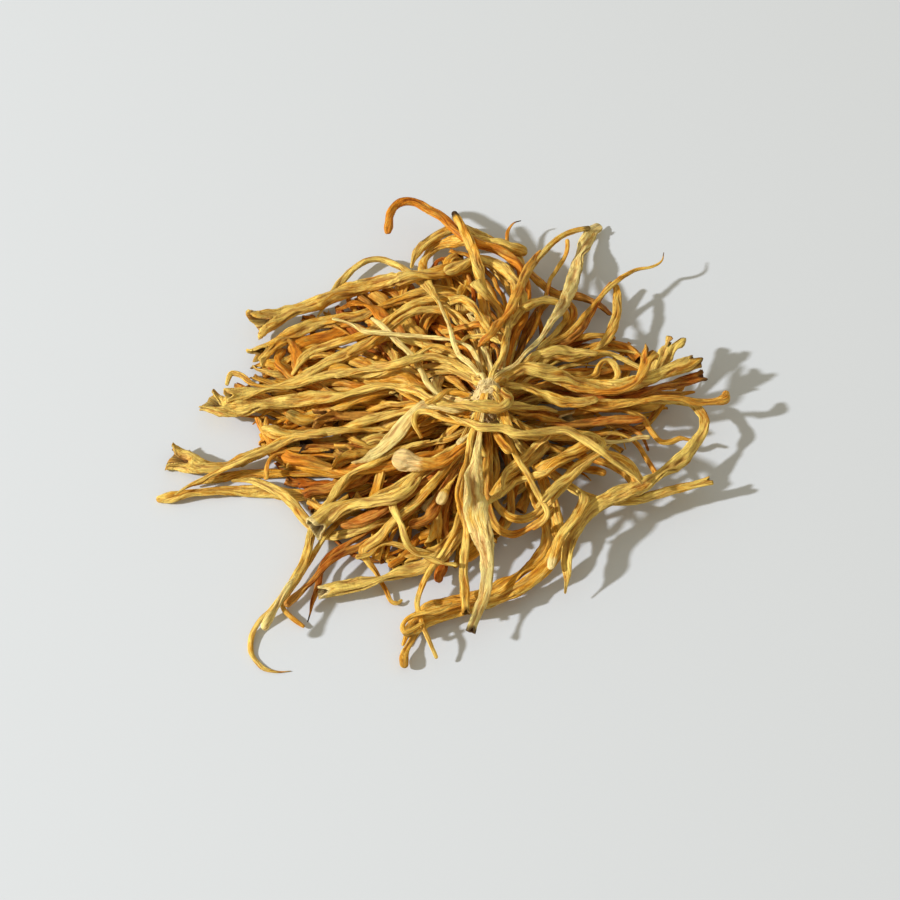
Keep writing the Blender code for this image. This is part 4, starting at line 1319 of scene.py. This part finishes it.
@dataclass
class Twigs:
    """Thin stalks and short under-stalks that fill the heap.

    Attributes:
        heap: The stalks laid so far.
        sight: Where the routes were seen from.
        heart: Middle of the base in plan.
        reach: Half sizes of the base in plan.
        cover: What of the picture is covered.
        unders: How many under-stalks there are at most; they end when nothing is bare.
        seed: Settles where the under-stalks run.
    """

    heap: Heap
    sight: Sight
    heart: np.ndarray
    reach: np.ndarray
    cover: Cover
    unders: int = 170
    seed: int = 11

    LEVELS = np.arange(0.5, 21.6, 0.45)
    ENDINGS = (Ending.TAPER, Ending.TAPER, Ending.CUT, Ending.TORN, Ending.TORN, Ending.LEAFY, Ending.CLUB)
    # Chances of each finish for an under-stalk low and high in the heap: painted shade makes the low ones browner.
    SHADE_BY_HEIGHT_SHARES = {Twig.PALE: (0.0, 0.03), Twig.GOLD: (0.31, 0.6), Twig.ORANGE: (0.34, 0.26), Twig.BROWN: (0.35, 0.11)}

    def _spots(self, text: str) -> np.ndarray:
        """A route's picture positions on a smooth curve."""
        rough = np.array([[float(part) for part in pair.split(",")] for pair in text.split()])
        flat = np.column_stack([rough, np.zeros(len(rough))])
        curve = Spine(flat, np.ones(len(flat)), np.tile([0.0, 1.0, 0.0], (len(flat), 1))).refined(6.0)
        return curve.points[:, :2]

    def _along_route(self, route: Route) -> Spine:
        """A route's centre line, threaded at the heights that leave its place in the picture."""
        spots = self._spots(route.spots)
        choices = self.sight.place(spots[:, None, :], np.broadcast_to(self.LEVELS, (len(spots), len(self.LEVELS))))
        share = np.linspace(0, 1, len(spots))
        wanted = route.height + route.rise * (1 - share) ** 1.5
        radius = 0.4 * max(route.widths)
        if route.over:
            wanted = self.heap.top(choices, radius)
            wanted[:2] -= np.array([2.0, 0.8])
            wanted -= 5.0 * (share < route.hidden)
            points = self.heap.threaded(choices, wanted, radius, pull=0.6)
        else:
            points = self.heap.threaded(choices, wanted, radius)
        return Spine.along(points, np.array(route.widths))

    def _sketch(self, rng: np.random.Generator, target: np.ndarray) -> np.ndarray:
        """A bent run in plan from the base's wall to just past a place.

        Args:
            rng: Where the random numbers come from.
            target: The place, in plan.

        Returns:
            Places along it, about 1.6 mm apart.
        """
        away = target - self.heart
        heading = math.atan2(away[1], away[0]) + rng.normal() * 1.0
        length = float(np.linalg.norm(away))
        out = np.array([math.cos(heading), math.sin(heading)])
        start = self.heart + self.reach * 0.85 * out
        first = start + out * length * rng.uniform(0.2, 0.55)
        onward = math.atan2(*(target - first)[::-1]) + rng.normal() * 0.7
        ahead = np.array([math.cos(onward), math.sin(onward)])
        last = target + ahead * rng.uniform(1.0, 5.0)
        second = last - ahead * length * rng.uniform(0.2, 0.5)
        share = np.linspace(0, 1, max(8, round(1.15 * length / 1.6)))[:, None]
        rest = 1 - share
        plan = rest**3 * start + 3 * rest**2 * share * first + 3 * rest * share**2 * second + share**3 * last
        sway = Wander(rng, 8.0)(share[:, 0] * length)[:, None] * np.clip(6 * share, 0, 1)
        run = unit(np.gradient(plan, axis=0))
        return plan + 0.35 * sway * np.stack([-run[:, 1], run[:, 0]], -1)

    def _under(self, rng: np.random.Generator) -> Spine:
        """The centre line of one under-stalk, where the heap is barest."""
        bare = self.cover.bare()
        width = 1.2 + 3.2 * rng.uniform(0, 1) ** 1.8
        widths = np.array([1.2, 0.8 * width, width, rng.uniform(0.5, 1.15) * width])
        best, plan = -1e9, None
        for _ in range(10):
            spot = bare[rng.integers(len(bare))]
            target = self.sight.place(spot, np.array(3.0))[:2]
            tried = self._sketch(rng, target)
            gain = self.cover.gain(Spine.along(np.column_stack([tried, np.full(len(tried), 3.0)]), widths))
            if gain > best:
                best, plan = gain, tried
        share = np.linspace(0, 1, len(plan))
        last = rng.uniform(1.0, 3.5)
        wanted = last + rng.uniform(1.0, 13.0) * (1 - share) ** 1.3
        choices = np.empty((len(plan), len(self.LEVELS), 3))
        choices[..., :2] = plan[:, None, :]
        choices[..., 2] = self.LEVELS
        away = np.linalg.norm(plan - self.heart, axis=1)
        roof = 2.6 + 13.5 * np.exp(-((away / 26.0) ** 2))
        laid = self.laid.top(choices, 0.34 * width)
        roof = np.where(laid > 0.5 * width, np.minimum(roof, np.maximum(laid - 1.2 * width, 0.4 * width)), roof)
        points = self.heap.threaded(choices, wanted, 0.34 * width, roof)
        return Spine.along(points, widths)

    def build(self, finishes: dict[str, bpy.types.Material]) -> None:
        """Make the twigs, each on its own, and the under-stalks, joined by finish."""
        for k, route in enumerate(ROUTES):
            spine = self._along_route(route)
            self.heap.add(spine)
            self.cover.add(spine)
            shell = Shell()
            Skin(spine, route.habit, seed=100 + k, wool=0.0, pointed=True).add_to(shell)
            shade_piece(shell.make(f"twig_{k + 1:02d}", finishes[route.finish.value]), route.finish.value)
        self._build_unders(finishes)

    def _build_unders(self, finishes: dict[str, bpy.types.Material]) -> None:
        """Make the under-stalks, joined by finish and by the side that they lie on."""
        rng = np.random.default_rng(self.seed)
        self.laid = Heap(list(self.heap.centres), list(self.heap.radii))
        shells: dict[tuple[Twig, str], Shell] = {}
        for k in range(self.unders):
            if not len(self.cover.bare()):
                break
            spine = self._under(rng)
            self.heap.add(spine)
            self.cover.add(spine)
            # Painted shade deep in the heap: the lower an under-stalk lies, the browner its finish and the lower its
            # tone.
            high = float(eased((spine.points[:, 2].mean() - 2.0) / 7.0))
            chances = [low + (top - low) * high for low, top in self.SHADE_BY_HEIGHT_SHARES.values()]
            finish = list(self.SHADE_BY_HEIGHT_SHARES)[int(rng.choice(len(chances), p=np.array(chances) / sum(chances)))]
            habit = Habit(self.ENDINGS[int(rng.integers(len(self.ENDINGS)))], tone=rng.uniform(0.2, 0.85) * (0.5 + 0.5 * high),
                          fold=rng.uniform(0.2, 0.34), plump=rng.uniform(0.36, 0.72), tip=0.6 * rng.uniform(0, 1) ** 2)
            side = "left" if spine.points[-1, 0] < self.heart[0] else "right"
            shell = shells.setdefault((finish, side), Shell())
            Skin(spine, habit, seed=300 + k, step=0.7, wool=1.2, fine=0.64).add_to(shell)
        LOG.info("bare cells left: %d of %d", len(self.cover.bare()), self.cover.inside.sum())
        for (finish, side), shell in shells.items():
            name = f"under_stalks_{finish.name.lower()}_{side}"
            shade_piece(shell.make(name, finishes[finish.value]), finish.value)


@dataclass
class WoollyBase:
    """The woolly mat that the stalks grow from.

    Attributes:
        around: Points around it.
        levels: Points up it.
        strands: How many coarse strands run down it.
        folds: How many papery folds lie across its crown.
        fibres: How many fine fibres stand from it.
        seed: Settles its lumps.
    """

    around: int = 96
    levels: int = 80
    strands: int = 130
    folds: int = 60
    fibres: int = 180
    seed: int = 5

    def __post_init__(self) -> None:
        """Read the base's size from the frame."""
        low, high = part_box("base")
        self.low, self.high = np.array(low) / MM, np.array(high) / MM
        self.heart = (self.low[:2] + self.high[:2]) / 2
        self.reach = (self.high[:2] - self.low[:2]) / 2
        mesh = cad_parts["base"].data
        self.tree = BVHTree.FromPolygons([v.co / MM for v in mesh.vertices], [tuple(f.vertices) for f in mesh.polygons])
        self.skin = self.tree

    def core(self) -> Spine:
        """An upright line through the base, as wide as the base is."""
        heights = np.linspace(self.low[2] + 1.0, self.high[2] - 3.0, 12)
        points = np.column_stack([np.tile(self.heart, (len(heights), 1)), heights])
        return Spine(points, np.full(len(heights), 2.0 * float(self.reach.min())), np.tile([1.0, 0.0, 0.0], (len(heights), 1)))

    def _reach_at(self, angle: float, height: float) -> float:
        """Distance from the base's middle line to its wall."""
        start = Vector((self.heart[0], self.heart[1], height))
        met = self.tree.ray_cast(start, Vector((math.cos(angle), math.sin(angle), 0.0)))
        return float(met[3]) if met[0] is not None else 0.0

    def surface(self, angle: float, share: float, out: float = 0.0) -> np.ndarray:
        """A point of the mat.

        Args:
            angle: Direction from the middle line.
            share: From 0 at the foot to 1 at the crown's middle.
            out: Distance off the surface.

        Returns:
            The point.
        """
        height = self.low[2] + 0.4 + (self.high[2] - self.low[2] - 1.0) * min(share / 0.8, 1.0)
        reach = self._reach_at(angle, min(height, self.high[2] - 0.8)) * (1 - 0.34 * float(eased((share - 0.35) / 0.4)))
        over = max(0.0, (share - 0.8) / 0.2)
        reach *= math.cos(0.5 * math.pi * over)
        height += 0.5 * math.sin(0.5 * math.pi * over) - 1.3 * float(eased((share - 0.5) / 0.3))
        spot = Vector((1.1 * math.cos(angle), 1.1 * math.sin(angle), 0.10 * height)) * 1.5
        lump = 0.75 * noise.fractal(spot, 0.8, 2.0, 4) + 0.35 * noise.noise(spot * 3.1)
        reach = max(reach * (1 + 0.16 * lump) + out, 0.02)
        height += 0.5 * lump * over
        return np.array([self.heart[0] + reach * math.cos(angle), self.heart[1] + reach * math.sin(angle), height])

    def _mat(self, shell: Shell) -> None:
        """The lumpy mass."""
        angles = np.linspace(0, 2 * math.pi, self.around, endpoint=False)
        shares = np.linspace(0.0, 0.995, self.levels)
        rings = np.array([[self.surface(angle, share) for angle in angles] for share in shares])
        middle = rings.mean(1, keepdims=True)
        pit = np.array([[noise.noise(Vector(p) * 0.9) for p in ring] for ring in rings])
        hollow = np.clip((pit - 0.28) * 4, 0, 1)
        rings = middle + (rings - middle) * (1 - 0.12 * hollow)[..., None]
        flat = rings.reshape(-1, 3)
        corner = np.arange(len(flat)).reshape(rings.shape[:2])
        turned = np.roll(corner, -1, axis=1)
        quads = np.stack([corner[:-1], turned[:-1], turned[1:], corner[1:]], -1).reshape(-1, 4)
        self.skin = BVHTree.FromPolygons(flat.tolist(), quads.tolist())
        # The pits' mark: the wool finish paints shade in them, by a lower tone, the groove mark and the hollow mark.
        shell.add_tube(rings, rings * np.array([1.0, 1.0, 0.6]), {"groove": hollow, "tone": 0.5 - 0.3 * hollow,
                                                              "inside": 0.5 * hollow})

    def _thread(self, shell: Shell, points: np.ndarray, radius: float, rng: np.random.Generator,
                sides: int = 5) -> None:
        """One strand through the given points."""
        spine = Spine.along(points, np.full(2, 2 * radius)).refined(max(0.35, radius * 1.5))
        taper = np.sin(np.linspace(0.25, math.pi - 0.12, len(spine.points))) ** 0.5
        theta = np.linspace(0, 2 * math.pi, sides, endpoint=False)
        top = unit(np.cross(spine.tangents(), spine.sides))
        arms = np.cos(theta)[None, :, None] * spine.sides[:, None] + 0.7 * np.sin(theta)[None, :, None] * top[:, None]
        wobble = 1 + 0.25 * Wander(rng, 1.5)(spine.lengths())
        rings = spine.points[:, None] + arms * (radius * taper * wobble)[:, None, None]
        round_it = np.stack([np.cos(theta), np.sin(theta)], -1) * radius
        grain = np.concatenate([np.broadcast_to(round_it, (len(rings), sides, 2)),
                                np.broadcast_to(spine.lengths()[:, None, None], (len(rings), sides, 1))], -1)
        shell.add_tube(rings, grain + rng.uniform(0, 50, 3), {"tone": np.full((1, 1), rng.uniform(0.3, 1.0))})

    def _strands(self, shell: Shell, rng: np.random.Generator) -> None:
        """Coarse strands that run down from the crown and out along the stalks."""
        for _ in range(self.strands):
            angle = rng.uniform(0, 2 * math.pi)
            top, length = rng.uniform(0.55, 0.99), rng.uniform(0.12, 0.4)
            bend = Wander(rng, 1.0)
            shares = np.linspace(top, max(top - length, 0.05), 6)
            lift = rng.uniform(0.0, 0.28)
            points = [self.surface(angle + 0.28 * float(bend(k / 3)), share, lift + 0.3 * (k == 5) * rng.uniform(0, 1.5))
                      for k, share in enumerate(shares)]
            self._thread(shell, np.array(points), rng.uniform(0.14, 0.38), rng)

    def _folds(self, shell: Shell, rng: np.random.Generator) -> None:
        """Papery folds that lie across the crown, side by side."""
        along = unit(np.array([-1.0, -0.74]))
        across = np.array([-along[1], along[0]])
        for _ in range(self.folds):
            length = rng.uniform(3.0, 7.5)
            middle = self.heart + across * rng.uniform(-4.0, 4.0) + along * rng.uniform(-3.5, 3.5)
            bend = Wander(rng, 2.5)
            lift = rng.uniform(-0.1, 0.25)
            points = []
            for step in np.linspace(-0.5, 0.5, 9):
                plan = middle + along * step * length + across * 0.35 * float(bend(step * length))
                met = self.skin.ray_cast(Vector((*plan, self.high[2] + 5)), Vector((0, 0, -1)))
                if met[0] is not None and met[0].z > self.low[2] + 6:
                    points.append([*plan, min(met[0].z + lift, self.high[2] + 0.2)])
            if len(points) > 4:
                self._thread(shell, np.array(points), rng.uniform(0.2, 0.48), rng, sides=7)

    def _fuzz(self, shell: Shell, rng: np.random.Generator) -> None:
        """Fine fibres that stand a little off the mat."""
        for _ in range(self.fibres):
            angle = rng.uniform(0, 2 * math.pi)
            share = 1 - 0.75 * rng.uniform(0, 1) ** 1.6
            start = self.surface(angle, min(share, 0.99))
            course = unit(np.array([math.cos(angle), math.sin(angle), rng.uniform(-0.9, 0.4)])
                          + 1.1 * rng.normal(size=3))
            length = rng.uniform(0.5, 1.5)
            bend = rng.normal(size=3) * 0.5 * length
            share_along = np.linspace(0, 1, 5)[:, None]
            points = start + course * length * share_along + bend * share_along**2
            points[:, 2] = np.minimum(points[:, 2], self.high[2] + 0.35)
            self._thread(shell, points, rng.uniform(0.05, 0.1), rng, sides=4)

    def build(self, wool: bpy.types.Material) -> None:
        """Make the mat with its strands and fibres."""
        rng = np.random.default_rng(self.seed)
        shell = Shell()
        self._mat(shell)
        self._strands(shell, rng)
        self._folds(shell, rng)
        shade_piece(shell.make("woolly_base", wool), "wool", "base")
        fuzz = Shell()
        self._fuzz(fuzz, rng)
        shade_piece(fuzz.make("base_fibres", wool), "wool")


@dataclass
class Studio:
    """The table, the light and the picture's colours.

    Attributes:
        table: Side of the table top, in metres.
        key: Strength of the key light on the clump, in watts a square metre.
        key_away: How far off it stands, in metres.
        key_size: Its width, in metres.
        fill: Strength of the light from all round.
    """

    table: float = 12.0
    key: float = 3.92
    key_away: float = 2.6
    key_size: float = 0.13
    fill: float = 0.475
    travel: tuple[float, float, float] = (0.838, 0.178, -0.515)

    def build(self) -> None:
        """Make the table and the lights."""
        self._table()
        self._key()
        self._fill()
        settings = bpy.context.scene.view_settings
        settings.view_transform = "Standard"
        settings.look = "None"

    def _table(self) -> None:
        """The plain pale table."""
        mesh = bpy.data.meshes.new("table")
        half = self.table / 2
        mesh.from_pydata([(-half, -half, 0), (half, -half, 0), (half, half, 0), (-half, half, 0)], [], [(0, 1, 2, 3)])
        material = bpy.data.materials.new("pale_table")
        material.use_nodes = True
        shader = material.node_tree.nodes["Principled BSDF"]
        shader.inputs["Base Color"].default_value = (*linear(213, 216, 222), 1)
        shader.inputs["Roughness"].default_value = 0.85
        shader.inputs["IOR"].default_value = 1.3
        mesh.materials.append(material)
        table = bpy.data.objects.new("table", mesh)
        bpy.context.scene.collection.objects.link(table)

    def _key(self) -> None:
        """The key light, low on the left and a little in front."""
        data = bpy.data.lights.new("key", "AREA")
        data.shape, data.size = "DISK", self.key_size
        data.energy = self.key * math.pi * self.key_away**2
        data.color = (0.95, 0.978, 1.0)
        light = bpy.data.objects.new("key", data)
        light.location = -self.key_away * Vector(self.travel).normalized()
        light.visible_camera = False
        light.rotation_euler = Vector(self.travel).to_track_quat("-Z", "Y").to_euler()
        bpy.context.scene.collection.objects.link(light)

    def _fill(self) -> None:
        """The even light from all round."""
        world = bpy.data.worlds.new("fill")
        world.use_nodes = True
        back = world.node_tree.nodes["Background"]
        back.inputs["Color"].default_value = (1.0, 0.94, 0.75, 1)
        back.inputs["Strength"].default_value = self.fill
        bpy.context.scene.world = world


def finishes() -> tuple[dict[str, bpy.types.Material], bpy.types.Material]:
    """The stalks' materials by slot, and the wool."""
    effects = Effects()
    stalks = (
        StalkFinish("pale_stalk", linear(252, 229, 146), linear(244, 198, 82), linear(176, 90, 14)),
        StalkFinish("gold_stalk", linear(252, 217, 112), linear(242, 173, 46), linear(142, 42, 1)),
        StalkFinish("orange_stalk", linear(244, 196, 86), linear(232, 144, 30), linear(122, 28, 0)),
        StalkFinish("brown_stalk", linear(226, 162, 68), linear(196, 102, 16), linear(86, 18, 0)),
    )
    return {finish.name: finish.make(effects) for finish in stalks}, WoolFinish().make(effects)


def main() -> None:
    """Build the clump's looks around the frame."""
    logging.basicConfig(level=logging.INFO, format="%(message)s")
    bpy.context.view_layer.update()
    flesh, wool = finishes()
    sight = Sight()
    base = WoollyBase()
    heap = Heap()
    heap.add(base.core())
    cover = Cover(sight)
    Stalks(heap, base.heart, base.high[2], cover).build(flesh)
    Twigs(heap, sight, base.heart, base.reach, cover).build(flesh)
    base.build(wool)
    Studio().build()
    sight.make_camera()


if __name__ == "__main__":
    main()
